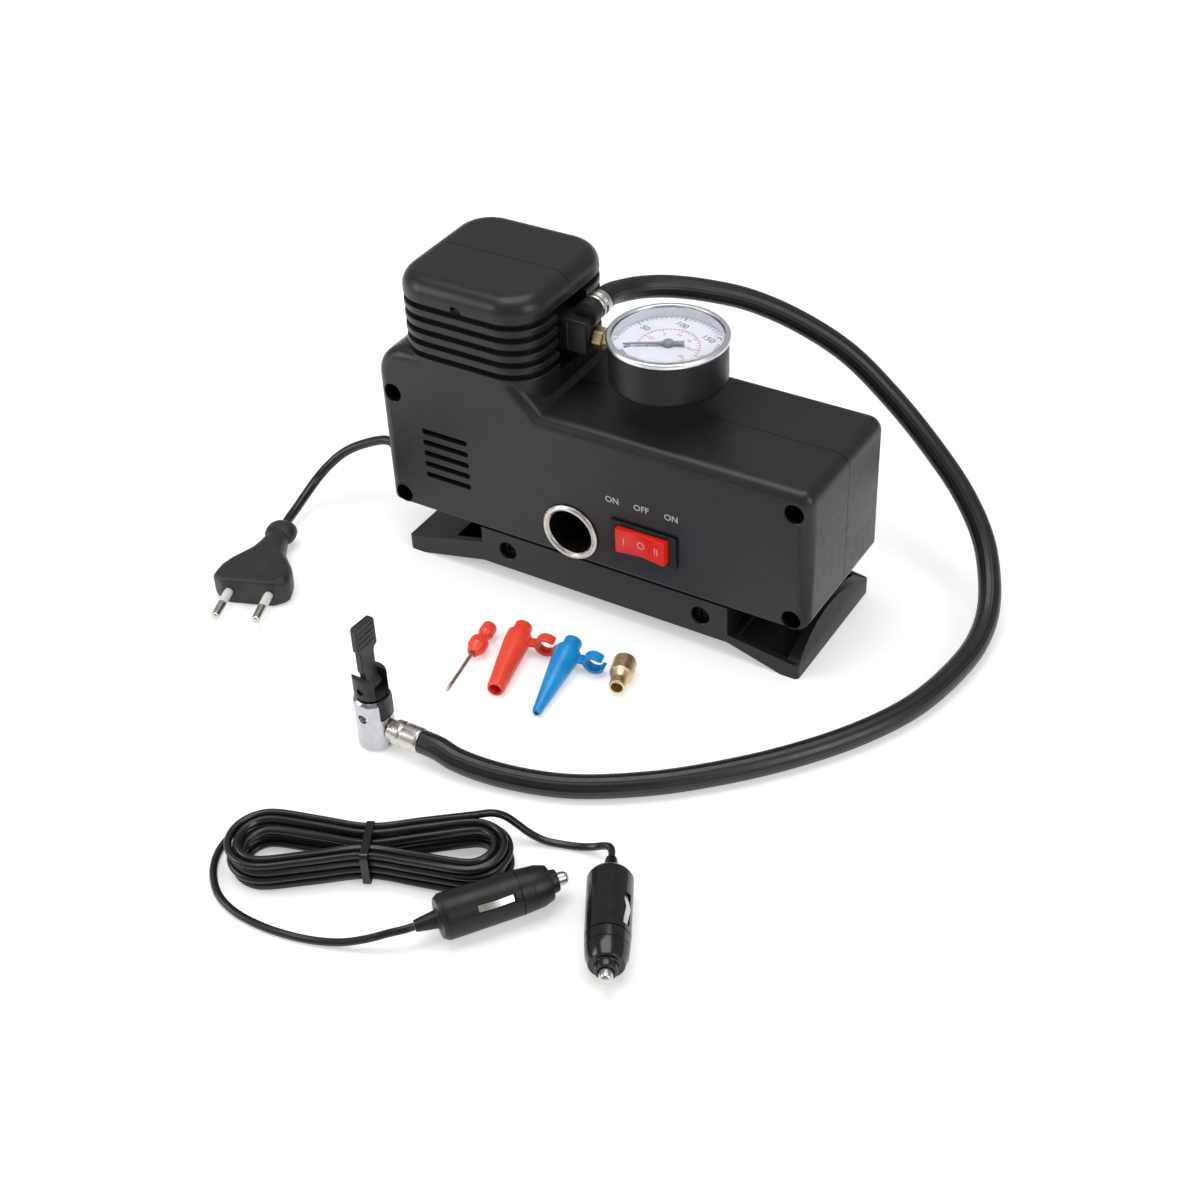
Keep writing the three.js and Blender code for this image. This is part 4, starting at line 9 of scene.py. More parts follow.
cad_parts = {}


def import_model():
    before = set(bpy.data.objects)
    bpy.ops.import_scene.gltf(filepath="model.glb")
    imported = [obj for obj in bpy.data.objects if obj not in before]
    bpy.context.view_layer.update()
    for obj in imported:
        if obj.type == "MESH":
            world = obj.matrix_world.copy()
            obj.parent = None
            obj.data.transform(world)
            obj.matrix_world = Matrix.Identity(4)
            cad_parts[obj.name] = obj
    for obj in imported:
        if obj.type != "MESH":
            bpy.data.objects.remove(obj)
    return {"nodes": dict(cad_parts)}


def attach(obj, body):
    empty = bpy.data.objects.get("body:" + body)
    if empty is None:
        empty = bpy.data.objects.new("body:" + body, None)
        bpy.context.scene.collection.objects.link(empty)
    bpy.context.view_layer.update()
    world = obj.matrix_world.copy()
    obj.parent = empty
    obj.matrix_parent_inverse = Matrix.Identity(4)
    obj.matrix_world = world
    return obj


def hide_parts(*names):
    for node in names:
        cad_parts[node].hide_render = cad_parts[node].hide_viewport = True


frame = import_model()
scene = bpy.context.scene
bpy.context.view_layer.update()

# ---- sizes in millimetres, as in the CAD source
MM = 0.001
SHIFT_Y = 39.996
GAP = 0.3
WALL = 2.5
HALF_LENGTH = 104.5
HALF_DEPTH = 34.75
FRONT = -HALF_DEPTH
HOUSING_BOTTOM = 26
HOUSING_TOP = 93
PEDESTAL_TOP = 106.3
CORNER = 6.2
BEVEL = 5.5
LOWER_EDGE = 1.5
SKIRT_HEIGHT = 10
SHOULDER = 15
RAMP_TOP_X = -35
RAMP_FOOT_X = -21.7
TOWER_X = -58.75
TOWER_SIZE = 69.5
TOWER_CORNER = 17
FIN_GROOVE = 2.7
FIN_THICKNESS = 3.15
FIN_DEPTH = 3.5
FIN_COUNT = 4
CAP_BOTTOM = PEDESTAL_TOP + FIN_GROOVE * (FIN_COUNT + 1) + FIN_THICKNESS * FIN_COUNT
CAP_TOP = CAP_BOTTOM + 10.6
CAP_ROUND = 8
SCREWS = [(-96.9, 83.5), (-96.9, 30.5), (96.9, 83.5), (96.9, 30.5)]
SCREW_WELL = 4.3
THREAD_HOLE = 2.05
BASE_SCREWS = [(-42.3, 17), (54.6, 17)]
VENT_CENTRE = (-71, 57)
VENT_SIZE = (23.5, 2.7)
VENT_PITCH = 5.65
VENT_COUNT = 5
OUTLET = (-8.1, 39.6)
OUTLET_BORE = 10.5
SWITCH = (28.3, 46.2)
GAUGE_X = 21.7
GAUGE_BOTTOM = 105
GAUGE_HEIGHT = 19.6
GAUGE_ZERO = 207.4
GAUGE_SWEEP = 270
DIAL_TOP = GAUGE_BOTTOM + 15.4
STEM_Z = 116
CHUCK = (-32, -149)
LIFT = 0.1
HOSE_RADIUS = 4.9
FERRULE_RADIUS = 5.4
HOSE_X = -16
HOSE_Z = 127
MAINS_RADIUS = 2.2
GLAND_Y = -10
GLAND_Z = 36.4
MAINS_PIN_SIDE = 9.3
LEAD_RADIUS = 1.5
DC_PLUG_RADIUS = 8.8
NOZZLE_RADIUS = 5.6
ADAPTER_RADIUS = 5

# x, y and heading of what lies on the floor
MAINS_PLUG = (-152.5, -56.45, -69.9)
DC_PLUG_1 = (45.1, -231.1, 53.3)
DC_PLUG_2 = (90, -168, -61.3)
BALL_NEEDLE = (-29.3, -69.4, -80.3)
RED_NOZZLE = (-14.8, -65.5, -75)
BLUE_NOZZLE = (9.8, -64.5, -80)
ADAPTER = (34.6, -63.2, -72)

HOSE_ROUTE = [
    (-16, 11.3, 127), (-16, 16.5, 126.9), (-14.9, 23.5, 125.4), (-10.6, 33, 123.6), (-2.6, 42.6, 121.4),
    (10.4, 53, 117.6), (26.5, 64, 111.3), (46, 73.5, 100.8), (66.5, 79.5, 87.6), (87, 81, 70.8), (108, 78, 53.8),
    (128, 70.5, 38.6), (142.5, 60, 26), (151.5, 47, 16.2), (157, 33, 10), (159.3, 16, 6.6), (158, -4, 5.4),
    (151.8, -32, 5.1), (139.3, -58, 5.1), (121, -83.5, 5.1), (101, -105, 5.1), (79.5, -123.5, 5.1),
    (53, -139.5, 5.1), (27, -147, 5.3), (7.5, -149.4, 6.9), (-1.5, -149, 8.7), (-8.9, -149, 9),
]
MAINS_ROUTE = [
    (-121.2, -10, 36.4), (-125, -10, 36), (-129.2, -10.2, 34.5), (-134.5, -10.9, 32.1), (-141.3, -12.4, 28.6),
    (-148, -15.3, 24), (-153, -19.9, 18.7), (-155.8, -26, 14), (-156.4, -34.4, 10.3), (-155.5, -43.6, 8),
    (-154.2, -51.6, 7), (-152.65, -56.05, 6.9),
]
LEAD_1_ROUTE = [
    (-17.9, -207.5, 2.4), (-20.9, -208.5, 2.4), (-27, -209, 2), (-33.5, -208.4, 1.6), (-40.3, -209.9, 1.6),
    (-46, -214.4, 1.6), (-48.4, -221.2, 1.6), (-47.9, -229, 1.6), (-45, -236.4, 1.6), (-40, -243, 1.6),
    (-32.5, -248.9, 1.6), (-22.5, -252.4, 1.6), (-11, -253.3, 1.6), (0.5, -252.3, 1.6), (12.5, -249.6, 1.8),
    (23, -246, 3), (32, -241.6, 5.6), (38.4, -237.6, 8), (42.89, -234.07, 8.9), (44.92, -231.34, 8.9),
]
LEAD_2_ROUTE = [
    (38, -174.7, 13.2), (40.5, -172.8, 13.2), (44.6, -170.4, 11.4), (49, -169, 8), (53.8, -168, 4.6),
    (59.5, -166.6, 2.2), (66, -164.6, 1.6), (72.8, -162.6, 1.9), (78.3, -161.4, 3.5), (82.8, -161.4, 6.2),
    (86.1, -162.6, 8.2), (88.23, -164.76, 8.9), (89.86, -167.74, 8.9),
]
HANK_PLACE = (8, -208.3)
HANK_HEADING = 27.3
HANK_HALF_WIDTH = 15.2
HANK_STRAIGHT = 54 - HANK_HALF_WIDTH
HANK_WAIST = 6.8
HANK_LAYERS = 4
LAYER_TURNS = 2
LEAD_PITCH = 3.6
HANK_BOTTOM = 0.9
RUN_STEPS = 4
END_STEPS = 8
LOOP_STEPS = 2 * (RUN_STEPS + END_STEPS)


# ---- helpers for objects
def world(point):
    """A point of the CAD source as a place in the frame, in metres."""
    return Vector((point[0], point[1] + SHIFT_Y, point[2])) * MM


def linked(name, data):
    made = bpy.data.objects.new(name, data)
    scene.collection.objects.link(made)
    return made


def mesh_object(name, bm):
    mesh = bpy.data.meshes.new(name)
    bm.to_mesh(mesh)
    bm.free()
    return linked(name, mesh)


def finished(name, bm, material, body, stands_for, angle):
    """A smooth mesh that rides on a body and takes the place of CAD nodes."""
    made = mesh_object(name, bm)
    made.data.shade_smooth()
    made.data.set_sharp_from_angle(angle=radians(angle))
    made.data.materials.append(material)
    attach(made, body)
    if stands_for:
        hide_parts(*stands_for)
    return made


# ---- camera
CAMERA_ANGLES = (32.6233, 38.1185, -2.7198)
CAMERA_TARGET = (-12.176, -7.816, -18.048)
CAMERA_DISTANCE = 880.844
FOCAL_PIXELS = 1925.752
PHOTO_PIXELS = 1200
SENSOR_WIDTH = 36


def make_camera():
    azimuth, elevation, roll = (radians(angle) for angle in CAMERA_ANGLES)
    level = cos(elevation)
    back = Vector((sin(azimuth) * level, -cos(azimuth) * level, sin(elevation)))
    right = (-back).cross(Vector((0, 0, 1))).normalized()
    up = right.cross(-back)
    turned_right = right * cos(roll) + up * sin(roll)
    turned_up = up * cos(roll) - right * sin(roll)
    data = bpy.data.cameras.new("camera")
    data.sensor_width = SENSOR_WIDTH
    data.lens = FOCAL_PIXELS / PHOTO_PIXELS * SENSOR_WIDTH
    data.clip_start = 0.01
    data.clip_end = 20
    camera = linked("camera", data)
    turn = Matrix((turned_right, turned_up, back)).transposed().to_4x4()
    camera.matrix_world = Matrix.Translation(world(CAMERA_TARGET) + back * CAMERA_DISTANCE * MM) @ turn
    scene.camera = camera


make_camera()


# ---- procedural materials
class Nodes:
    """A new material and short ways to add nodes to it."""

    def __init__(self, name, color, roughness, metallic=0.0, **sockets):
        self.material = bpy.data.materials.new(name)
        self.material.use_nodes = True
        self.tree = self.material.node_tree
        self.shader = self.tree.nodes["Principled BSDF"]
        self.shader.inputs["Base Color"].default_value = (*color, 1)
        self.shader.inputs["Roughness"].default_value = roughness
        self.shader.inputs["Metallic"].default_value = metallic
        for socket, value in sockets.items():
            self.shader.inputs[socket.replace("_", " ")].default_value = value
        self.place = self.add("ShaderNodeTexCoord").outputs["Object"]
        self.bumps = None

    def add(self, kind, **settings):
        node = self.tree.nodes.new(kind)
        for name, value in settings.items():
            setattr(node, name, value)
        return node

    def link(self, source, socket):
        self.tree.links.new(source, socket)

    def noise(self, size_mm, detail):
        node = self.add("ShaderNodeTexNoise")
        node.inputs["Scale"].default_value = 1 / (size_mm * MM)
        node.inputs["Detail"].default_value = detail
        self.link(self.place, node.inputs["Vector"])
        return node.outputs["Fac"]

    def math(self, operation, first, second=0.0):
        node = self.add("ShaderNodeMath", operation=operation)
        for socket, value in zip(node.inputs, (first, second)):
            if isinstance(value, (int, float)):
                socket.default_value = value
            else:
                self.link(value, socket)
        return node.outputs[0]

    def spread(self, value, low, high, out_low=0.0, out_high=1.0):
        node = self.add("ShaderNodeMapRange")
        self.link(value, node.inputs["Value"])
        for name, number in zip(("From Min", "From Max", "To Min", "To Max"), (low, high, out_low, out_high)):
            node.inputs[name].default_value = number
        return node.outputs["Result"]

    def colors(self, value, *stops):
        node = self.add("ShaderNodeValToRGB")
        for element, (position, color) in zip(node.color_ramp.elements, stops):
            element.position = position
            element.color = (*color, 1)
        self.link(value, node.inputs["Fac"])
        self.link(node.outputs["Color"], self.shader.inputs["Base Color"])

    def roughness(self, value, low, high):
        self.link(self.spread(value, 0.3, 0.7, low, high), self.shader.inputs["Roughness"])

    def bump(self, value, depth_mm, strength):
        node = self.add("ShaderNodeBump")
        node.inputs["Distance"].default_value = depth_mm * MM
        node.inputs["Strength"].default_value = strength
        self.link(value, node.inputs["Height"])
        if self.bumps:
            self.link(self.bumps, node.inputs["Normal"])
        self.bumps = node.outputs["Normal"]
        self.link(self.bumps, self.shader.inputs["Normal"])


def plastic(name, dark, light, low, high, grain_mm=0.45, depth_mm=0.03, specular=0.5, **sockets):
    nodes = Nodes(name, light, (low + high) / 2, Specular_IOR_Level=specular, **sockets)
    nodes.colors(nodes.noise(9, 5), (0.3, dark), (0.7, light))
    nodes.roughness(nodes.noise(4, 6), low, high)
    nodes.bump(nodes.noise(grain_mm, 2), depth_mm, 0.5)
    nodes.bump(nodes.noise(25, 2), 0.12, 0.35)
    return nodes.material


def polythene(name, dark, light, low, high, reach):
    """Plastic that light gets into. The reach is how far it spreads in red, green and blue."""
    return plastic(name, dark, light, low, high, 1.2, 0.02, Subsurface_Weight=0.25, Subsurface_Radius=reach,
                   Subsurface_Scale=0.6)


def metal(name, dark, light, low, high, grain_mm, depth_mm):
    nodes = Nodes(name, light, (low + high) / 2, 1.0)
    nodes.colors(nodes.noise(3, 5), (0.3, dark), (0.7, light))
    nodes.roughness(nodes.noise(1.5, 5), low, high)
    nodes.bump(nodes.noise(grain_mm, 3), depth_mm, 0.6)
    return nodes.material


BLACK = plastic("black_abs", (0.0125, 0.0135, 0.0152), (0.0155, 0.0168, 0.0188), 0.3, 0.39, specular=0.36)
BASE_BLACK = plastic("base_abs", (0.0095, 0.01, 0.0112), (0.0135, 0.0142, 0.0156), 0.34, 0.44, specular=0.36)
GAUGE_BLACK = plastic("gauge_abs", (0.01, 0.0105, 0.0118), (0.015, 0.0156, 0.0172), 0.32, 0.42, 0.3, 0.015,
                      specular=0.3)
LEVER_BLACK = plastic("lever_plastic", (0.012, 0.0125, 0.013), (0.022, 0.0225, 0.024), 0.4, 0.55)
PLUG_BLACK = plastic("plug_rubber", (0.011, 0.0115, 0.0125), (0.02, 0.0205, 0.022), 0.42, 0.56, 0.3, 0.02)
GLOSS_BLACK = plastic("gloss_black", (0.006, 0.006, 0.007), (0.01, 0.0105, 0.012), 0.12, 0.22, 0.8, 0.008)
CORD_BLACK = plastic("cord_pvc", (0.005, 0.0053, 0.006), (0.01, 0.0104, 0.0115), 0.26, 0.36, 0.5, 0.02)
BEZEL_BLACK = plastic("bezel_abs", (0.006, 0.006, 0.006), (0.011, 0.011, 0.011), 0.34, 0.44, specular=0.3)
# Near-black for the screws and the socket's insulator, and painted shade on the walls of the screw wells and
# inside the socket's bore
RECESS_SHADE_AND_BLACK = plastic("recess_shade_and_black", (0.003, 0.003, 0.003), (0.006, 0.006, 0.006), 0.6, 0.7, specular=0.1)
RED = polythene("red_polythene", (0.84, 0.06, 0.03), (0.92, 0.09, 0.045), 0.28, 0.38, (0.004, 0.001, 0.0008))
BLUE = polythene("blue_polythene", (0.004, 0.25, 0.62), (0.012, 0.33, 0.74), 0.26, 0.36,
                 (0.0008, 0.002, 0.004))
# The rocker's red has a faint painted glow: it emits a little red light though it holds no lamp
GLOWING_ROCKER_RED = plastic("rocker_red_painted_glow", (0.68, 0.012, 0.008), (0.8, 0.02, 0.012), 0.14, 0.22, 1.5, 0.01,
                     Emission_Color=(0.8, 0.02, 0.01, 1), Emission_Strength=0.12)
PALE_PRINT = plastic("pale_print", (0.5, 0.51, 0.53), (0.66, 0.67, 0.69), 0.5, 0.65)
GREY_PRINT = plastic("grey_print", (0.07, 0.075, 0.09), (0.1, 0.105, 0.125), 0.5, 0.6)
NEEDLE_GREY = plastic("needle_grey", (0.13, 0.135, 0.145), (0.19, 0.195, 0.21), 0.4, 0.5)
RED_PRINT = plastic("red_print", (0.38, 0.09, 0.1), (0.46, 0.13, 0.14), 0.5, 0.6)
ROCKER_PRINT = plastic("rocker_print", (0.86, 0.3, 0.26), (0.92, 0.42, 0.37), 0.3, 0.4)
DIAL_WHITE = plastic("dial_white", (0.52, 0.53, 0.56), (0.58, 0.59, 0.62), 0.4, 0.5, 0.8, 0.004)
WHITE_SLEEVE = plastic("pin_sleeve", (0.68, 0.67, 0.65), (0.78, 0.77, 0.75), 0.35, 0.45)
CHROME = metal("chrome", (0.47, 0.48, 0.5), (0.55, 0.56, 0.58), 0.1, 0.16, 3, 0.004)
NICKEL = metal("nickel", (0.6, 0.58, 0.535), (0.68, 0.66, 0.615), 0.26, 0.34, 2.5, 0.002)
SATIN_RIM = metal("satin_rim", (0.8, 0.81, 0.83), (0.9, 0.91, 0.93), 0.28, 0.36, 2.5, 0.004)
BRASS = metal("brass", (0.68, 0.52, 0.31), (0.79, 0.63, 0.41), 0.36, 0.5, 1.2, 0.006)
STEEL = metal("steel", (0.34, 0.345, 0.35), (0.46, 0.465, 0.47), 0.22, 0.36, 0.5, 0.01)
ALUMINIUM = metal("cast_aluminium", (0.42, 0.43, 0.44), (0.55, 0.56, 0.57), 0.38, 0.55, 0.8, 0.05)
NYLON = plastic("nylon", (0.62, 0.58, 0.48), (0.72, 0.68, 0.58), 0.4, 0.5)
BOARD_GREEN = plastic("board_green", (0.01, 0.07, 0.03), (0.02, 0.12, 0.05), 0.35, 0.5)


def lens_material():
    nodes = Nodes("lens_clear", (0.97, 0.98, 1.0), 0.04, Transmission_Weight=1.0, IOR=1.3)
    nodes.bump(nodes.noise(18, 2), 0.05, 0.3)
    return nodes.material


def hose_material():
    """Smooth black rubber over a braid that only just shows, drawn on the hose's own turns and length."""
    nodes = Nodes("hose_rubber", (0.008, 0.008, 0.008), 0.4)
    split = nodes.add("ShaderNodeSeparateXYZ")
    nodes.link(nodes.add("ShaderNodeUVMap", uv_map="cord").outputs["UV"], split.inputs["Vector"])
    around, along = split.outputs["X"], split.outputs["Y"]
    rib_count, strand_count, strand_pitch = 20, 10, 0.006
    ribs = nodes.math("SINE", nodes.math("MULTIPLY", around, 2 * pi * rib_count))
    turns = nodes.math("MULTIPLY", around, strand_count)
    pitch = nodes.math("MULTIPLY", along, 1 / strand_pitch)
    right, left = (nodes.math("SINE", nodes.math("MULTIPLY", nodes.math(way, turns, pitch), 2 * pi))
                   for way in ("ADD", "SUBTRACT"))
    braid = nodes.math("MULTIPLY", nodes.math("MULTIPLY", right, left), 0.22)
    height = nodes.math("ADD", ribs, braid)
    # Colour follows the height of the ribs and braid, darker where they lie low: painted shade in the grooves,
    # with a random tone over it
    groove_shade_and_tone = nodes.math("ADD", height, nodes.spread(nodes.noise(14, 4), 0.35, 0.65, -0.6, 0.6))
    dark, light = (0.0045, 0.0046, 0.0048), (0.0125, 0.0128, 0.013)
    nodes.colors(nodes.spread(groove_shade_and_tone, -1.4, 1.4), (0.0, dark), (1.0, light))
    nodes.roughness(nodes.noise(3, 4), 0.3, 0.42)
    nodes.bump(height, 0.05, 0.6)
    return nodes.material


LENS = lens_material()
HOSE = hose_material()


# ---- cords
def catmull_rom(route, steps):
    """Centripetal Catmull-Rom curve through the route, the same curve as the CAD tube's."""
    points = [Vector(p) for p in route]
    padded = [2 * points[0] - points[1], *points, 2 * points[-1] - points[-2]]
    line = []
    for i in range(1, len(padded) - 2):
        p0, p1, p2, p3 = padded[i - 1:i + 3]
        d0, d1, d2 = (max((b - a).length_squared ** 0.25, 1e-4) for a, b in ((p0, p1), (p1, p2), (p2, p3)))
        t1 = ((p1 - p0) / d0 - (p2 - p0) / (d0 + d1) + (p2 - p1) / d1) * d1
        t2 = ((p2 - p1) / d1 - (p3 - p1) / (d1 + d2) + (p3 - p2) / d2) * d1
        for k in range(steps):
            t = k / steps
            square, cube = 3 * (p2 - p1) - 2 * t1 - t2, 2 * (p1 - p2) + t1 + t2
            line.append(p1 + t1 * t + square * t * t + cube * t ** 3)
    line.append(points[-1])
    return line


def tube(name, line, section, sides, material, stands_for):
    """A closed tube along a line in metres. section(angle, travelled) gives its radius in metres."""
    bm = bmesh.new()
    uv_layer = bm.loops.layers.uv.new("cord")
    across = (line[1] - line[0]).normalized().orthogonal().normalized()
    rings, travelled = [], 0.0
    for i, point in enumerate(line):
        heading = (line[min(i + 1, len(line) - 1)] - line[max(i - 1, 0)]).normalized()
        across = (across - heading * across.dot(heading)).normalized()
        lift = heading.cross(across)
        if i:
            travelled += (point - line[i - 1]).length
        ring = []
        for k in range(sides):
            angle = 2 * pi * k / sides
            radius = section(angle, travelled)
            ring.append(bm.verts.new(point + (across * cos(angle) + lift * sin(angle)) * radius))
        rings.append((ring, travelled))
    for (ring, low), (next_ring, high) in zip(rings, rings[1:]):
        for k in range(sides):
            nearby = (k + 1) % sides
            face = bm.faces.new((ring[k], ring[nearby], next_ring[nearby], next_ring[k]))
            corners = ((k, low), (k + 1, low), (k + 1, high), (k, high))
            for loop, (step, distance) in zip(face.loops, corners):
                loop[uv_layer].uv = (step / sides, distance)
    bm.faces.new(rings[0][0][::-1])
    bm.faces.new(rings[-1][0])
    return finished(name, bm, material, "compressor", stands_for, 60)


def hank_point(step):
    turn = step / LOOP_STEPS
    pair = min(max(math.floor(turn / (2 * LAYER_TURNS)), 0), HANK_LAYERS // 2 - 1)
    pair_turn = turn - 2 * LAYER_TURNS * pair
    reach = HANK_HALF_WIDTH - LEAD_PITCH * (LAYER_TURNS - abs(pair_turn - LAYER_TURNS))
    layer = 0.0
    for i in range(1, HANK_LAYERS):
        share = min(max((turn - i * LAYER_TURNS + 0.25) / 0.5, 0), 1)
        layer += share * share * (3 - 2 * share)
    z = HANK_BOTTOM + LEAD_RADIUS + LEAD_PITCH * layer
    count = math.floor((step + RUN_STEPS / 2) / (LOOP_STEPS / 2))
    place = step + RUN_STEPS / 2 - count * LOOP_STEPS / 2
    side = 1 if count % 2 == 0 else -1
    if place <= RUN_STEPS:
        along = (2 * place / RUN_STEPS - 1) * HANK_STRAIGHT
        drawn = HANK_WAIST * cos(pi / 2 * along / HANK_STRAIGHT) ** 2
        return Vector((side * along, side * (reach - drawn), z))
    angle = pi * (place - RUN_STEPS) / END_STEPS
    return Vector((side * (HANK_STRAIGHT + reach * sin(angle)), side * reach * cos(angle), z))


def hank_route():
    last = HANK_LAYERS * LAYER_TURNS * LOOP_STEPS + RUN_STEPS // 2
    points = [hank_point(step) for step in range(-1, last + 1)]
    turn = Matrix.Rotation(radians(HANK_HEADING), 3, "Z")
    place = Vector((*HANK_PLACE, 0))
    return [turn @ point + place for point in points]


def twin_core(radius, twist_mm):
    """Round two-core lead with a groove along each side, which turns slowly along its length."""
    def section(angle, travelled):
        turn = travelled / (twist_mm * MM)
        away = min(abs((angle - turn - half + pi) % (2 * pi) - pi) for half in (0, pi))
        return radius * MM * (1 - 0.24 * math.exp(-(away / 0.33) ** 2))
    return section


def make_cords():
    hose_line = [world(p) for p in catmull_rom(HOSE_ROUTE, 12)]
    hose = tube("air_hose_braid", hose_line, lambda angle, travelled: HOSE_RADIUS * MM, 40, HOSE, ["air_hose"])
    mains_line = [world(p) for p in catmull_rom(MAINS_ROUTE, 10)]
    mains = tube("mains_cord_sheath", mains_line, lambda angle, travelled: MAINS_RADIUS * MM, 24, CORD_BLACK,
                 ["mains_cord"])
    lead_route = LEAD_1_ROUTE[:0:-1] + [tuple(p) for p in hank_route()] + LEAD_2_ROUTE[1:]
    lead_line = [world(p) for p in catmull_rom(lead_route, 5)]
    lead = tube("dc_lead_wound", lead_line, twin_core(LEAD_RADIUS, 60), 16, CORD_BLACK,
                ["dc_hank", "dc_lead_1", "dc_lead_2"])
    return (hose, hose_line), (mains, mains_line), (lead, lead_line)


(hose, hose_line), (mains, mains_line), (lead, lead_line) = make_cords()


# ---- drawing in the CAD's own millimetres
def lathe(profile, start=(0, 0, 0), direction=(0, 0, 1), sides=64):
    """A turned solid from (radius, height) pairs, closed on the axis or on the profile's first point."""
    bm = bmesh.new()
    turn = Vector((0, 0, 1)).rotation_difference(Vector(direction)).to_matrix()
    closed = profile[0] == profile[-1]
    rows = []
    for radius, height in (profile[:-1] if closed else profile):
        count = 1 if radius == 0 else sides
        row = []
        for k in range(count):
            angle = 2 * pi * k / sides
            corner = Vector((radius * cos(angle), radius * sin(angle), height))
            row.append(bm.verts.new(turn @ corner + Vector(start)))
        rows.append(row)
    if closed:
        rows.append(rows[0])
    for low, high in zip(rows, rows[1:]):
        for k in range(sides):
            n = k + 1
            corners = (low[k % len(low)], low[n % len(low)], high[n % len(high)], high[k % len(high)])
            kept = list(dict.fromkeys(corners))
            if len(kept) > 2:
                bm.faces.new(kept)
    return bm


def eased(profile, radius, steps=3):
    """The same profile with each inner corner rounded, so that its edges catch the light."""
    points = [Vector(p) for p in profile]
    closed = points[0] == points[-1]
    ring = points[:-1] if closed else points
    out = []
    for i, corner in enumerate(ring):
        before = ring[i - 1] - corner
        after = ring[(i + 1) % len(ring)] - corner
        reach = min(radius, 0.45 * before.length, 0.45 * after.length)
        on_end = not closed and i in (0, len(ring) - 1)
        if on_end or reach < 1e-6 or before.angle(after) > radians(165):
            out.append(tuple(corner))
            continue
        first, last = corner + before.normalized() * reach, corner + after.normalized() * reach
        for k in range(steps + 1):
            t = k / steps
            out.append(tuple(first * (1 - t) ** 2 + corner * 2 * t * (1 - t) + last * t * t))
    if closed:
        out.append(out[0])
    return out


def loft(rings, bm=None):
    """A solid through rings of equal count, with both ends closed."""
    if bm is None:
        bm = bmesh.new()
    rows = [[bm.verts.new(point) for point in ring] for ring in rings]
    bm.faces.new(rows[0][::-1])
    bm.faces.new(rows[-1])
    for low, high in zip(rows, rows[1:]):
        for k in range(len(low)):
            nearby = (k + 1) % len(low)
            bm.faces.new((low[k], low[nearby], high[nearby], high[k]))
    return bm


def prism(points, axis, low, high):
    """A straight solid along one axis on an outline in the other two."""
    slot = "xyz".index(axis)
    bm = loft([[(*point[:slot], height, *point[slot:]) for point in points] for height in (low, high)])
    bmesh.ops.recalc_face_normals(bm, faces=bm.faces)
    return bm


def block(x, y, z):
    return prism([(x[0], y[0]), (x[1], y[0]), (x[1], y[1]), (x[0], y[1])], "z", *z)


def around(centre, size):
    return centre - size / 2, centre + size / 2


def rod(radius, length, start, direction, sides=32):
    return lathe([(0, 0), (radius, 0), (radius, length), (0, length)], start, direction, sides)


def along_x(profile, sides, start=0):
    return lathe(profile, (start, 0, 0), (1, 0, 0), sides)


def band(inner, outer, low, high):
    """The closed profile of a flat ring, for a lathe."""
    return [(inner, low), (outer, low), (outer, high), (inner, high), (inner, low)]


def soften(bm, width, segments=3, angle=35, chosen=None):
    """Rounds the edges that are sharper than the angle, or those of them that are chosen."""
    bm.normal_update()
    edges = [edge for edge in bm.edges if edge.is_manifold and edge.calc_face_angle(0) > radians(angle)
             and (chosen is None or chosen(edge))]
    bevel(bm, edges, width, segments, True)
    return bm


def bevel(bm, edges, width, segments, clamped):
    bmesh.ops.bevel(bm, geom=edges, offset=width, segments=segments, profile=0.5, affect="EDGES",
                    clamp_overlap=clamped)


def placed(x=0.0, y=0.0, z=0.0, heading=0.0, tilt=0.0):
    turn = Matrix.Rotation(radians(heading), 4, "Z") @ Matrix.Rotation(radians(tilt), 4, "Y")
    return Matrix.Translation((x, y, z)) @ turn


def on_floor(where, height, tilt=0.0):
    """The place of a loose thing from its x, y and heading and the height of its axis."""
    x, y, heading = where
    return placed(x, y, height + LIFT, heading, tilt)


def scratch(bm):
    bmesh.ops.recalc_face_normals(bm, faces=bm.faces)
    return mesh_object("scratch", bm)


def combined(base, tools, operation):
    """The base with all tools cut from it, joined to it or shared with it."""
    base_object = scratch(base)
    tool_objects = [scratch(tool) for tool in tools]
    for tool in tool_objects:
        change = base_object.modifiers.new("change", "BOOLEAN")
        change.operation = operation
        change.solver = "MANIFOLD"
        change.object = tool
    evaluated = base_object.evaluated_get(bpy.context.evaluated_depsgraph_get())
    bm = bmesh.new()
    bm.from_mesh(evaluated.data)
    for used in (base_object, *tool_objects):
        mesh = used.data
        bpy.data.objects.remove(used)
        bpy.data.meshes.remove(mesh)
    return bm


def cut(base, *tools):
    return combined(base, tools, "DIFFERENCE")


def join(base, *tools):
    return combined(base, tools, "UNION")


def common(base, tool):
    return combined(base, [tool], "INTERSECT")


def piece(name, bm, material, body="compressor", stands_for=(), angle=35, weighted=True, place=None):
    """A finished piece in metres from a solid in millimetres."""
    if place is not None:
        bm.transform(place)
    bm.transform(Matrix.Scale(MM, 4) @ Matrix.Translation((0, SHIFT_Y, 0)))
    bmesh.ops.recalc_face_normals(bm, faces=bm.faces)
    made = finished(name, bm, material, body, stands_for, angle)
    if weighted:
        normals = made.modifiers.new("normals", "WEIGHTED_NORMAL")
        normals.keep_sharp = True
    return made


def skin(node, bm, material, body="compressor", angle=35, place=None):
    """A piece that takes the place of one CAD node and is named after it."""
    return piece(node + "_skin", bm, material, body, [node], angle, place=place)


def paint(made, material, test):
    """Gives a second material to the faces whose centre, in millimetres, passes the test."""
    made.data.materials.append(material)
    index = len(made.data.materials) - 1
    for face in made.data.polygons:
        x, y, z = face.center / MM
        if test(x, y - SHIFT_Y, z):
            face.material_index = index


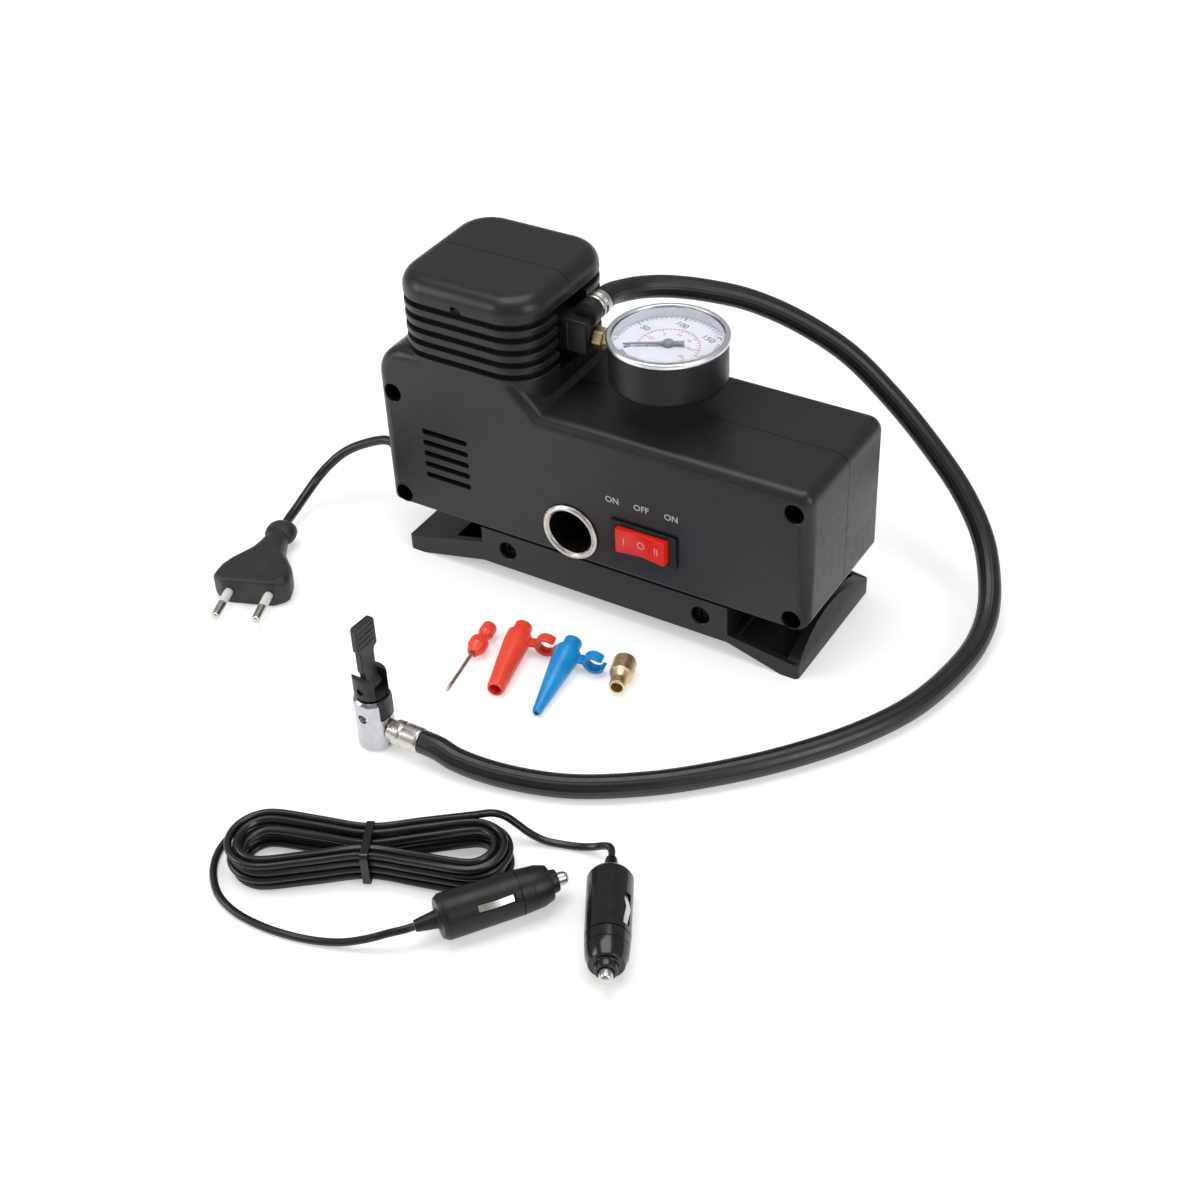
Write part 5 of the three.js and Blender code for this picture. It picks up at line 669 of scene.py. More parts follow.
def lettering(name, text, height, place, material, body="compressor", raised=0.05):
    """Flat print that stands a hair proud of its surface. The height is a capital's."""
    curve = bpy.data.curves.new(name, "FONT")
    curve.body = text
    curve.size = height / 0.69
    curve.align_x = curve.align_y = "CENTER"
    curve.offset = 0.012 * height
    curve.extrude = raised / 2
    curve.resolution_u = 4
    drawn = linked(name + "_curve", curve)
    evaluated = drawn.evaluated_get(bpy.context.evaluated_depsgraph_get())
    bm = bmesh.new()
    mesh = bpy.data.meshes.new_from_object(evaluated)
    bm.from_mesh(mesh)
    bpy.data.meshes.remove(mesh)
    bpy.data.objects.remove(drawn)
    bpy.data.curves.remove(curve)
    return piece(name, bm, material, body, weighted=False, place=place)


# ---- housing
def arc(x, y, radius, start, end, steps=10):
    angles = [radians(start + (end - start) * k / steps) for k in range(steps + 1)]
    return [(x + radius * cos(angle), y + radius * sin(angle)) for angle in angles]


def rounded_rectangle(half_x, half_y, radius, steps, x=0, y=0):
    out = []
    for sign_x, sign_y, start in ((1, 1, 0), (-1, 1, 90), (-1, -1, 180), (1, -1, 270)):
        centre_x, centre_y = x + sign_x * (half_x - radius), y + sign_y * (half_y - radius)
        out += arc(centre_x, centre_y, radius, start, start + 90, steps)
    return out


def body_outline(inset):
    corner, side = CORNER - inset, HALF_LENGTH - inset
    low, top, high = HOUSING_BOTTOM + inset, HOUSING_TOP - inset, PEDESTAL_TOP - inset
    shoulder = SHOULDER - inset
    shift = inset * math.tan(pi / 8)
    return (arc(side - corner, low + corner, corner, 270, 360)
            + arc(side - corner, top - corner, corner, 0, 90)
            + [(RAMP_FOOT_X - shift, top), (RAMP_TOP_X - shift, high)]
            + arc(-side + shoulder, high - shoulder, shoulder, 90, 180)
            + arc(-side + corner, low + corner, corner, 180, 270))


def rounded_slab(outline, low, high, round_by, segments):
    bm = prism(outline, "y", low, high)
    ends = [edge for edge in bm.edges if abs(edge.verts[0].co.y - edge.verts[1].co.y) < 1e-6]
    bevel(bm, ends, round_by, segments, False)
    return bm


def tower_ring(inset, height, steps=9):
    half = TOWER_SIZE / 2 - inset
    return [(x, y, height) for x, y in rounded_rectangle(half, half, TOWER_CORNER - inset, steps, TOWER_X)]


def quarter(radius, low, rising, steps=5):
    """(inset, height) pairs of a rounded rim, from the wall inwards or, if not rising, out to the wall."""
    pairs = []
    for k in range(steps + 1):
        angle = pi / 2 * k / steps
        pairs.append((radius * (1 - cos(angle)), low + radius * sin(angle)))
    if rising:
        return pairs
    return [(inset, 2 * low + radius - z) for inset, z in reversed(pairs)]


def tower():
    rim = 0.55
    pairs = [(0, HOUSING_TOP - BEVEL - 2)]
    pairs += quarter(rim, PEDESTAL_TOP - rim, True) + [(FIN_DEPTH, PEDESTAL_TOP)]
    for i in range(FIN_COUNT):
        low = PEDESTAL_TOP + FIN_GROOVE + i * (FIN_GROOVE + FIN_THICKNESS)
        pairs += [(FIN_DEPTH, low)] + quarter(rim, low, False) + quarter(rim, low + FIN_THICKNESS - rim, True)
        pairs += [(FIN_DEPTH, low + FIN_THICKNESS)]
    pairs += [(FIN_DEPTH, CAP_BOTTOM)] + quarter(rim, CAP_BOTTOM, False)
    pairs += quarter(CAP_ROUND, CAP_TOP - CAP_ROUND, True, 9)
    return loft([tower_ring(inset, z) for inset, z in pairs])


# Picks the faces inside the screw wells, which get painted shade
def in_a_well(x, y, z):
    if y < FRONT + 0.8:
        return False
    reach = SCREW_WELL + 0.2
    return any(math.hypot(x - well_x, z - well_z) < reach for well_x, well_z in SCREWS + BASE_SCREWS)


def screw_wells(places, seat, depth):
    """What is cut for the screws: a wide well down to the screw's head and a hole for its thread."""
    profile = [(0, -1), (SCREW_WELL + 0.4, -1), (SCREW_WELL + 0.4, 0), (SCREW_WELL, 0.4), (SCREW_WELL, seat),
               (THREAD_HOLE, seat), (THREAD_HOLE, depth), (0, depth)]
    return [lathe(profile, (x, FRONT, z), (0, 1, 0), 40) for x, z in places]


def skirt():
    """The lowest part of the housing, whose front and rear edges are rounded less than the rest."""
    slab = rounded_slab(body_outline(0), FRONT, HALF_DEPTH, LOWER_EDGE, 3)
    plan = rounded_rectangle(HALF_LENGTH, HALF_DEPTH, BEVEL, 6)
    return common(slab, prism(plan, "z", HOUSING_BOTTOM, HOUSING_BOTTOM + SKIRT_HEIGHT))


def make_shell():
    body = rounded_slab(body_outline(0), FRONT, HALF_DEPTH, BEVEL, 6)
    outside = join(body, skirt(), tower())
    inside = rounded_slab(body_outline(WALL), FRONT + WALL, HALF_DEPTH - WALL, BEVEL - WALL, 2)
    inner_tower = loft([tower_ring(FIN_DEPTH + WALL, z, 4) for z in (HOUSING_TOP - 2 * WALL, CAP_TOP - WALL)])
    right = TOWER_X + TOWER_SIZE / 2
    opening = block((right - 18, right + 1), (-11.5, 11.5), (102.7, 129.7))
    shell = cut(outside, inside, inner_tower, opening)
    bosses = [rod(5.2, 2 * HALF_DEPTH - WALL, (x, FRONT + WALL / 2, z), (0, 1, 0)) for x, z in SCREWS]
    return join(shell, *bosses)


def make_housing():
    front_wall = (FRONT - 1, FRONT + 5)
    slots = []
    for i in range(VENT_COUNT):
        z = VENT_CENTRE[1] + (i - (VENT_COUNT - 1) / 2) * VENT_PITCH
        slot = block(around(VENT_CENTRE[0], VENT_SIZE[0]), front_wall, around(z, VENT_SIZE[1]))
        slots.append(soften(slot, 0.8, 2))
    outlet_hole = rod(OUTLET_BORE + 1.1, 48, (OUTLET[0], FRONT - WALL, OUTLET[1]), (0, 1, 0), 64)
    switch_hole = block(around(SWITCH[0], 29), front_wall, around(SWITCH[1], 14.8))
    notch = block(around(TOWER_X, 5), (FRONT - 1, FRONT + FIN_DEPTH), (CAP_BOTTOM - 1, CAP_BOTTOM + 3))
    gland = join(rod(3.9, 8, (-HALF_LENGTH - WALL, GLAND_Y, GLAND_Z), (1, 0, 0)),
                 rod(5.1, 2.7, (-HALF_LENGTH + WALL - 0.1, GLAND_Y, GLAND_Z), (1, 0, 0)))
    shell = cut(make_shell(), *screw_wells(SCREWS, 18, 43), *slots, outlet_hole, switch_hole, notch, gland)
    front = common(shell.copy(), block((-200, 200), (-100, -GAP / 2), (-100, 200)))
    rear = common(shell, block((-200, 200), (GAP / 2, 100), (-100, 200)))
    # The front housing's screw wells get painted shade
    paint(skin("front_housing", front, BLACK, angle=32), RECESS_SHADE_AND_BLACK, in_a_well)
    skin("rear_housing", rear, BLACK, angle=32)


make_housing()


# ---- base
BASE_LEFT = -97
BASE_RIGHT = 101
BLOCK_LEFT = -55.7
BLOCK_RIGHT = 67.7
TIP_HEIGHT = 7
HUMP_HEIGHT = 15


def end_hump():
    """The raised end of the right wing: an arch that is highest at mid depth, with a sloping outer face."""
    rise = 4 * (HUMP_HEIGHT - TIP_HEIGHT)
    crest = [(HALF_DEPTH * (2 * t - 1), TIP_HEIGHT + rise * t * (1 - t)) for t in (k / 24 for k in range(25))]
    arch = prism([(FRONT, 5)] + crest + [(HALF_DEPTH, 5)], "x", BASE_RIGHT - 6, BASE_RIGHT)
    beyond = [(BASE_RIGHT - 3, HUMP_HEIGHT), (BASE_RIGHT + 3, 2 * TIP_HEIGHT - HUMP_HEIGHT),
              (BASE_RIGHT + 3, HUMP_HEIGHT + 1), (BASE_RIGHT - 3, HUMP_HEIGHT + 1)]
    return cut(arch, prism(beyond, "y", FRONT - 1, HALF_DEPTH + 1))


def is_tip_corner(edge):
    ends = [v.co for v in edge.verts]
    return min(abs(end.x) for end in ends) > 93 and min(abs(end.y) for end in ends) > HALF_DEPTH - 0.1 and (
        (ends[0] - ends[1]).to_2d().length < 0.1)


def make_base():
    top = HOUSING_BOTTOM - GAP
    profile = [
        (BASE_LEFT, 0), (BASE_LEFT + 8, 0), (BLOCK_LEFT, 7.5), (BLOCK_RIGHT, 7.5), (BASE_RIGHT - 8, 0),
        (BASE_RIGHT, 0), (BASE_RIGHT, TIP_HEIGHT), (BLOCK_RIGHT, 11.5), (BLOCK_RIGHT, top), (BLOCK_LEFT, top),
        (BLOCK_LEFT, 17.5), (BASE_LEFT, TIP_HEIGHT),
    ]
    body = join(prism(profile, "y", FRONT, HALF_DEPTH), end_hump())
    soften(body, 2.0, 5, 30, is_tip_corner)
    soften(body, 0.9, 4, 28, lambda edge: edge.calc_length() > 1.2 and max(v.co.z for v in edge.verts) < top)
    between_walls = (FRONT + 3, HALF_DEPTH - 3)
    trays = []
    left, right = (BLOCK_LEFT - 3, BLOCK_LEFT - 16.3, 6.5), (BLOCK_RIGHT + 3, BASE_RIGHT - 6, 4.5)
    for inner, outer, floor in (left, right):
        shape = [(inner, 9.5), (outer, floor), (outer, 30), (inner, 30)]
        trays.append(soften(prism(shape, "y", *between_walls), 1.0, 3))
    hollow = block((BLOCK_LEFT + 3, BLOCK_RIGHT - 3), between_walls, (-1, top - 3))
    posts = [rod(6.2, 7.2, (x, FRONT + 1, z), (0, 1, 0)) for x, z in BASE_SCREWS]
    body = join(cut(body, *trays, hollow), *posts)
    lugs = [block(around(x, 11.6), (-26.55, -14.95), (7.5, 30)) for x, z in BASE_SCREWS]
    made = skin("base", cut(body, *screw_wells(BASE_SCREWS, 5, 22), *lugs), BASE_BLACK, angle=32)
    # The base's screw wells get painted shade
    paint(made, RECESS_SHADE_AND_BLACK, in_a_well)


make_base()


# ---- outlet and switch
def make_outlet():
    start = (OUTLET[0], FRONT, OUTLET[1])
    tube_wall = OUTLET_BORE + 0.8
    sleeve = lathe(eased([
        (OUTLET_BORE, -0.6), (OUTLET_BORE + 1, -1.8), (12.5, -1.8), (13.5, -0.9), (13.5, -GAP),
        (tube_wall, -GAP), (tube_wall, 40), (OUTLET_BORE, 40), (OUTLET_BORE, -0.6)], 0.3), start, (0, 1, 0), 96)
    # The sleeve's inside, deeper than 0.6 mm, gets painted shade in place of nickel
    paint(skin("outlet_sleeve", sleeve, NICKEL), RECESS_SHADE_AND_BLACK, lambda x, y, z: y > FRONT + 0.6)


def make_switch():
    x, z = SWITCH
    lip = soften(block(around(x, 32), (FRONT - 1.6, FRONT - GAP), around(z, 16)), 0.5, 3)
    body = block(around(x, 28.4), (FRONT - 1, FRONT + 18), around(z, 14.2))
    pocket = block(around(x, 25.8), (FRONT - 5, FRONT + 13), around(z, 12.4))
    skin("switch_bezel", cut(join(lip, body), pocket), BEZEL_BLACK)
    shape = [(-11.6, -4.4), (-5.67, -3.5), (0, -2.9), (5.67, -3.5), (11.6, -4.4), (12.4, 0), (11.7, 3),
             (4, 6.5), (-4, 6.5), (-11.7, 3), (-12.4, 0)]
    rocker = soften(prism(shape, "z", *around(0, 11.8)), 0.45, 3, 25)
    piece("rocker_skin", rocker, GLOWING_ROCKER_RED, "rocker", ["switch_rocker"], 20, place=placed(x, FRONT, z))
    upright = Matrix.Rotation(radians(90), 4, "X")
    marks = (("i", "I", -7.8, -3.84, 8.6), ("o", "O", 0, -3.05, 0), ("ii", "II", 7.8, -3.84, -8.6))
    for name, text, shift, depth, lean in marks:
        place = placed(x + shift, FRONT + depth, z, lean)
        lettering("rocker_mark_" + name, text, 3.4, place @ upright, ROCKER_PRINT, "rocker", 0.1)
    for name, text, letter_x in (("on_left", "ON", 13.3), ("off", "OFF", 27.3), ("on_right", "ON", 41.5)):
        place = placed(letter_x, FRONT - 0.01, 62.9)
        lettering("label_" + name, text, 2.9, place @ upright, PALE_PRINT)


make_outlet()
make_switch()


# ---- gauge
def dial_angle(share):
    return radians(GAUGE_ZERO - GAUGE_SWEEP * share)


def dial_mark(bm, share, inner, outer, width):
    angle = dial_angle(share)
    along = Vector((cos(angle), sin(angle), 0))
    across = Vector((-along.y, along.x, 0)) * width / 2
    centre = Vector((GAUGE_X, 0, DIAL_TOP))
    corners = [centre + along * inner - across, centre + along * outer - across,
               centre + along * outer + across, centre + along * inner + across]
    loft([corners, [corner + Vector((0, 0, 0.05)) for corner in corners]], bm)


def dial_marks(bm, count, full, every, starts, outer, widths):
    """Marks along a scale. One in so many is longer and wider, and the full count fills the sweep."""
    for i in range(count):
        kind = 0 if i % every == 0 else 1
        dial_mark(bm, i / full, starts[kind], outer, widths[kind])


def dial_numbers(name, texts, step, radius, height, material):
    up = Matrix.Rotation(radians(GAUGE_ZERO - 225), 4, "Z")
    for i, text in enumerate(texts):
        angle = dial_angle(i * step)
        place = placed(GAUGE_X + radius * cos(angle), radius * sin(angle), DIAL_TOP + 0.03)
        lettering(f"{name}_{i}", text, height, place @ up, material)


def on_gauge(profile, sides):
    return lathe(profile, (GAUGE_X, 0, GAUGE_BOTTOM), sides=sides)


def make_gauge():
    case = on_gauge(eased([
        (0, 0), (22, 0), (24, 0.9), (25, 3), (25, GAUGE_HEIGHT), (23.5, GAUGE_HEIGHT), (23.5, 14.3),
        (22, 14.3), (22, 2), (0, 2)], 0.6, 4), 96)
    stem_hole = rod(3.15, 8, (GAUGE_X - 28, 0, STEM_Z), (1, 0, 0))
    skin("gauge_case", cut(case, stem_hole), GAUGE_BLACK)
    seat = GAUGE_HEIGHT + GAP
    rim = on_gauge(eased([
        (24.5, seat), (25.4, seat), (25.7, seat + 0.3), (25.7, seat + 1.5), (25.1, seat + 2.1),
        (23.6, seat + 2.1), (23.3, seat + 1.8), (23.3, seat + 1.3), (24.5, seat + 1.3), (24.5, seat),
    ], 0.35, 4), 128)
    skin("gauge_rim", rim, SATIN_RIM)
    lens = on_gauge([
        (0, seat), (24.2, seat), (24.2, seat + 1), (23, seat + 1), (22.4, seat + 1.5), (21, seat + 1.8),
        (16, seat + 2.05), (8, seat + 2.15), (0, seat + 2.2)], 96)
    glass = skin("gauge_lens", lens, LENS)
    glass.visible_shadow = False


def make_dial():
    dial = on_gauge(eased(band(1.1, 23.2, 14.6, 15.4), 0.1, 2), 96)
    skin("gauge_dial", dial, DIAL_WHITE)
    wall = on_gauge(eased([(22.9, 15.5), (23.4, 15.5), (23.4, GAUGE_HEIGHT - 0.1), (23.1, GAUGE_HEIGHT - 0.1),
                           (22.9, 15.5)], 0.08, 2), 96)
    piece("gauge_inner_wall", wall, DIAL_WHITE)
    grey, red = bmesh.new(), bmesh.new()
    dial_marks(grey, 51, 50, 10, (20.2, 21.1), 22.6, (0.5, 0.22))
    dial_marks(red, 35, 34.5, 5, (10.8, 11.6), 12.8, (0.36, 0.2))
    for i in range(72):
        dial_mark(red, (i + 0.5) / 72, 12.8, 13.05, 0.9)
    piece("dial_scale_outer", grey, GREY_PRINT, weighted=False)
    piece("dial_scale_inner", red, RED_PRINT, weighted=False)
    dial_numbers("dial_number", [str(50 * i) for i in range(6)], 1 / 5, 16.8, 2.9, GREY_PRINT)
    dial_numbers("dial_inner_number", [f"{2.5 * i:g}" for i in range(7)], 5 / 34.5, 9, 1.5, RED_PRINT)
    stop_angle = radians(262)
    stop_place = (GAUGE_X + 15 * cos(stop_angle), 15 * sin(stop_angle), DIAL_TOP)
    stop = rod(0.5, 1.6, stop_place, (0, 0, 1), 20)
    piece("dial_stop_pin", soften(stop, 0.15, 2), STEEL)


def make_gauge_needle():
    hub = lathe(eased([(0, -13), (0.8, -13), (0.8, 0.9), (2.2, 0.9), (2.2, 2.5), (1.6, 2.9), (0, 2.9)], 0.25),
                (0, 0, 14.8), sides=48)
    half = [(17.5, 0.3), (4, 0.75), (1, 1.1), (-4, 1.2), (-6.5, 1.5)]
    hand = prism([(18.5, 0), *((x, -y) for x, y in half), *half[::-1]], "z", 16.2, 16.8)
    needle = join(hub, soften(hand, 0.12, 2))
    skin("gauge_needle", needle, NEEDLE_GREY, "needle", place=placed(GAUGE_X, 0, GAUGE_BOTTOM, GAUGE_ZERO))


def make_outlet_block():
    bar = soften(block((-43.95, -13), (-8, 3.5), (110.5, 126)), 1.2, 4)
    neck = rod(FERRULE_RADIUS, 6, (HOSE_X, 3.5, HOSE_Z), (0, -1, 0), 48)
    ribs = [soften(block(around(x, 1.6), (-8.6, -7), (112, 124.5)), 0.5, 2) for x in (-34, -28, -22)]
    piece("manifold_skin", join(bar, neck, *ribs), BASE_BLACK, stands_for=["manifold_block"])
    nut = soften(prism(arc(0, STEM_Z, 5, 0, 300, 5), "x", -12.7, -8.1), 0.5, 3)
    shank = lathe(eased([(0, 0), (3, 0), (3, 2), (2.7, 2.2), (2.7, 2.6), (3, 2.8), (3, 11.9), (0, 11.9)], 0.2),
                  (-12.7, 0, STEM_Z), (1, 0, 0), 48)
    skin("gauge_stem", join(nut, shank), BRASS)


make_gauge()
make_dial()
make_gauge_needle()
make_outlet_block()


# ---- hose ends and chuck
def make_hose_ends():
    wide = FERRULE_RADIUS
    coupling = lathe(eased([
        (0, 0), (wide - 0.4, 0), (wide, 0.6), (wide, 2), (wide - 0.6, 2.4), (wide - 0.6, 3.2), (wide, 3.6),
        (wide, 6.5), (wide - 0.5, 7.2), (0, 7.2)], 0.3), (HOSE_X, 3.8, HOSE_Z), (0, 1, 0), 64)
    skin("hose_coupling", coupling, NICKEL)
    ferrule = lathe(eased([
        (0, 0), (4.4, 0), (4.4, 2.5), (wide, 3), (wide, 6), (wide - 0.6, 6.4), (wide - 0.6, 7.2), (wide, 7.6),
        (wide, 14.4), (wide - 0.5, 15.2), (0, 15.2)], 0.3), (CHUCK[0] + 7.6, CHUCK[1], 9), (1, 0, 0), 64)
    return skin("hose_ferrule", ferrule, NICKEL)


def make_chuck_body():
    body = lathe(eased([
        (4.3, 0), (6.9, 0), (7.9, 1), (7.9, 23.8), (6.7, 25), (0, 25), (0, 13), (4.3, 13), (4.3, 0)],
        0.5, 4), sides=72)
    flat = block((7.3, 13), (-6.5, 6.5), (2.5, 15.5))
    slot = block((5.4, 9), (-4.5, 4.5), (15.8, 27))
    hole = rod(2.1, 3, (0, -8.9, 17), (0, 1, 0), 40)
    return skin("chuck_body", cut(body, flat, slot, hole), CHROME, angle=30, place=placed(*CHUCK, LIFT))


def make_chuck_collar():
    barrel = lathe(eased([(0, 25.3), (6.2, 25.3), (6.2, 26.8), (7, 26.8), (7, 36.3), (0, 36.3)], 0.6, 4))
    tongue = common(rod(7.7, 9.5, (0, 0, 16.1), (0, 0, 1), 64), block((5.7, 8), (-4.2, 4.2), (15, 27.5)))
    slot = block((-9, 9), (-4.3, 4.3), (27, 38))
    pin_hole = rod(1.6, 20, (0, -10, 30.6), (0, 1, 0))
    collar = cut(join(barrel, tongue), slot, pin_hole)
    return skin("chuck_collar", collar, LEVER_BLACK, angle=30, place=placed(*CHUCK, LIFT))


def make_chuck_lever():
    side = [(-4, 0), (4, 0), (4, 7), (3.5, 9), (3.5, 15), (4.2, 16.6), (6, 17.5), (6, 29.5), (5, 30.6),
            (-5, 31.4), (-6, 30.6), (-6, 20), (-5, 18.5), (-5, 9), (-4, 7)]
    plate = soften(prism(side, "x", -1.5, 1.5), 0.6, 4)
    eye = soften(rod(3, 8, (0, -4, 0), (0, 1, 0), 40), 0.3, 2)
    pins = rod(1.4, 12, (0, -6, 0), (0, 1, 0))
    ribs = [soften(block((-1.85, 1.85), (-5, 5), around(20.5 + 2.5 * i, 0.8)), 0.3, 2) for i in range(4)]
    lever = join(plate, eye, pins, *ribs)
    return skin("chuck_lever", lever, LEVER_BLACK, "lever", 30, placed(*CHUCK, LIFT + 30.5))


ferrule = make_hose_ends()
chuck_pieces = [make_chuck_body(), make_chuck_collar(), make_chuck_lever()]


# ---- mains cord's ends
def make_mains_gland():
    relief = lathe(eased([
        (0, -4.8), (4.8, -4.8), (4.8, -2.8), (3.6, -2.8), (3.6, 0.3), (5, 0.3), (5, 2.6), (4, 3.6), (3.7, 5),
        (2.8, 16.2), (2.25, 16.2), (2.25, 15.5), (0, 15.5)], 0.4, 4),
        (-HALF_LENGTH, GLAND_Y, GLAND_Z), (-1, 0, 0), 48)
    grooves = []
    for i in range(4):
        out = 6.2 + 2.2 * i
        inner = 3.7 - 0.08 * (out - 5) - 0.45
        start = (-HALF_LENGTH - out, GLAND_Y, GLAND_Z)
        grooves.append(lathe(band(inner, inner + 1.35, 0, 1), start, (-1, 0, 0), 48))
    return skin("mains_gland", cut(relief, *grooves), PLUG_BLACK)


def make_mains_plug():
    """The plug, and a pin and its sleeve on each side. Stations are x, half width, half height and corner."""
    place = on_floor(MAINS_PLUG, 6.8)
    stations = [
        (3, 3.2, 3.2, 3.0), (8, 4.7, 4.1, 3.7), (13, 5.6, 4.9, 4.1), (18, 6.7, 5.3, 4.4), (23.5, 8.4, 5.9, 4.6),
        (29.6, 12.2, 6.4, 4.6), (34, 15, 6.65, 4.5), (38.8, 16.9, 6.8, 4.2), (43, 17.5, 6.8, 3.9),
        (46, 17.65, 6.8, 3.6), (47.6, 16.6, 6.8, 3.4), (49.6, 13.9, 6.7, 3.2), (50.6, 12.6, 6.3, 3.0),
        (51, 11.8, 5.6, 2.8),
    ]
    body = loft([[(x, y, z) for y, z in rounded_rectangle(half_y, half_z, corner, 6)]
                 for x, half_y, half_z, corner in stations])
    knob = along_x([(0, 0), (3, 0), (4.3, 0.8), (5, 2.6), (5.2, 5.2), (5, 7.8), (4.3, 9.6), (3, 10.4),
                    (0, 10.4)], 48)
    knob.transform(Matrix.Diagonal((1, 1.42, 1, 1)))
    holes = [rod(2.3, 7, (45, side, 0), (1, 0, 0), 40) for side in (-MAINS_PIN_SIDE, MAINS_PIN_SIDE)]
    made = [skin("mains_plug", cut(join(body, knob), *holes), PLUG_BLACK, angle=40, place=place)]
    for number, side in ((1, MAINS_PIN_SIDE), (2, -MAINS_PIN_SIDE)):
        start = (45.3, side, 0)
        pin = lathe(eased([(0, 0), (1.75, 0), (1.75, 14.2), (2, 14.4), (2, 23.2), (1.6, 23.9), (0.9, 24.2),
                           (0, 24.2)], 0.2), start, (1, 0, 0), 40)
        made.append(skin(f"mains_pin_{number}", pin, NICKEL, place=place))
        sleeve = lathe(eased(band(1.75, 2, 4, 14.3), 0.05, 2), start, (1, 0, 0), 40)
        made.append(piece(f"mains_pin_{number}_sleeve", sleeve, WHITE_SLEEVE, place=place))
    return made


gland = make_mains_gland()
mains_plug, *mains_pins = make_mains_plug()


# ---- 12 V plugs and the hank's tie
def make_dc_plug(number, where, roll, material):
    name = f"dc_plug_{number}"
    place = on_floor(where, DC_PLUG_RADIUS)
    turned = place @ Matrix.Rotation(radians(roll), 4, "X")
    shell = along_x(eased([
        (0, 0), (2.2, 0), (3.1, 5.5), (3.4, 8), (4.6, 9), (7.6, 9), (DC_PLUG_RADIUS, 11), (8.62, 30), (8.5, 40),
        (7.9, 48), (6.6, 52), (4.6, 52), (4.2, 55), (2.9, 55), (2.9, 46), (0, 46)], 0.5, 4), 72)
    grooves = [along_x(band(8, 9.5, start, start + 0.5), 72) for start in (39.3, 44.2)]
    slots = [block((22, 37), sides, (-1.7, 1.7)) for sides in ((7.6, 10), (-10, -7.6))]
    made = [skin(name, cut(shell, *grooves, *slots), material, place=turned)]
    for side, side_name in ((1, "left"), (-1, "right")):
        points = [(22.6, 7.75), (25, 8.1), (29.5, 9.05), (34, 8.1), (36.4, 7.75), (36.4, 7.3), (22.6, 7.3)]
        spring = soften(prism([(a, side * b) for a, b in points], "z", -1.3, 1.3), 0.15, 2, 40)
        made.append(piece(f"{name}_spring_{side_name}", spring, NICKEL, place=turned))
    tip = along_x(eased([(0, 48.8), (2.6, 48.8), (2.6, 57), (2.3, 58.4), (1.4, 59.2), (0, 59.5)], 0.4, 4), 48)
    body, node = f"tip_{number}", f"dc_plug_tip_{number}"
    made.append(piece(name + "_tip_skin", tip, NICKEL, body, [node], place=place))
    return made


def make_tie():
    outer = rounded_rectangle(10.1, 7.75, 2, 6, 0, LIFT + 7.75)
    inner = [(y * 0.945, (z - 7.8) * 0.93 + 7.8) for y, z in outer]
    strip = cut(prism(outer, "x", -1.5, 1.5), prism(inner, "x", -2, 2))
    return skin("hank_tie", soften(strip, 0.12, 2), GLOSS_BLACK, place=placed(*HANK_PLACE, 0, HANK_HEADING))


dc_plugs = make_dc_plug(1, DC_PLUG_1, -38, GAUGE_BLACK) + make_dc_plug(2, DC_PLUG_2, 36, GLOSS_BLACK)
hank_tie = make_tie()


# ---- loose adapters
def make_ball_needle():
    place = on_floor(BALL_NEEDLE, 4.2)
    head = along_x(eased([
        (0, 0), (2, 0.2), (3.2, 1), (3.4, 1.8), (3.4, 6), (2.3, 8.2), (2.3, 9.6), (4.2, 11.6), (4.2, 15.4),
        (2.2, 20), (1.05, 20), (1.05, 14), (0, 14)], 0.5, 4), 56)
    skin("ball_needle_head", head, RED, place=place)
    needle = along_x([(0, 0), (0.9, 0), (0.9, 27.5), (0.75, 30), (0.45, 31.4), (0, 31.7)], 32, 14.3)
    hole = block((41.5, 43.5), (-0.35, 0.35), (0, 2))
    skin("ball_needle", cut(needle, soften(hole, 0.3, 2)), NICKEL, place=place)


def make_nozzle(name, length, tip, where, material):
    """A cone that rests on its widest ring and on its tip, with a clip beside its root."""
    tilt = math.atan((NOZZLE_RADIUS - tip) / (length - 11))
    height = NOZZLE_RADIUS + LIFT + 11 * sin(tilt)
    cone = along_x(eased([
        (2.4, 0), (4, 0), (4, 5), (NOZZLE_RADIUS, 6), (NOZZLE_RADIUS, 11), (tip, length - 1),
        (tip - 0.5, length), (tip - 1.1, length), (2.4 if tip > 3 else tip - 1.1, 13), (2.4, 12.9), (2.4, 0),
    ], 0.4, 4), 64)
    arm = soften(block((6.75, 11.25), (4.6, 8.9), (-0.8, 0.8)), 0.3, 3)
    hoop = lathe(eased(band(3.3, 4.9, 6.75, 11.25), 0.4, 3), (0, 13, 0), (1, 0, 0), 56)
    mouth = block((5, 13), (14, 20), (-1.2, 2.8))
    solid = join(cone, arm, cut(hoop, mouth))
    skin(name, solid, material, angle=32, place=on_floor(where, height, math.degrees(tilt)))


def make_adapter():
    shell = along_x(eased([
        (1.6, 0), (4.6, 0), (ADAPTER_RADIUS, 0.5), (ADAPTER_RADIUS, 9), (4.2, 10.5), (3.5, 13), (3.5, 17.1),
        (3.1, 17.5), (2.5, 17.5), (2.5, 12.5), (1.6, 11.5), (1.6, 0)], 0.25, 3), 56)
    threads = [along_x([(3.2, at), (4.4, at - 0.25), (4.4, at + 0.25), (3.2, at)], 56)
               for at in (13.7, 14.4, 15.1, 15.8, 16.5)]
    grooves = []
    for i in range(24):
        groove = soften(block((1.4, 8.2), (4.75, 5.6), (-0.18, 0.18)), 0.05, 1)
        groove.transform(Matrix.Rotation(2 * pi * i / 24, 4, "X"))
        grooves.append(groove)
    skin("valve_adapter", cut(shell, *threads, *grooves), BRASS, place=on_floor(ADAPTER, ADAPTER_RADIUS))


make_ball_needle()
make_nozzle("red_nozzle", 40, 3.8, RED_NOZZLE, RED)
make_nozzle("blue_nozzle", 43, 2, BLUE_NOZZLE, BLUE)
make_adapter()


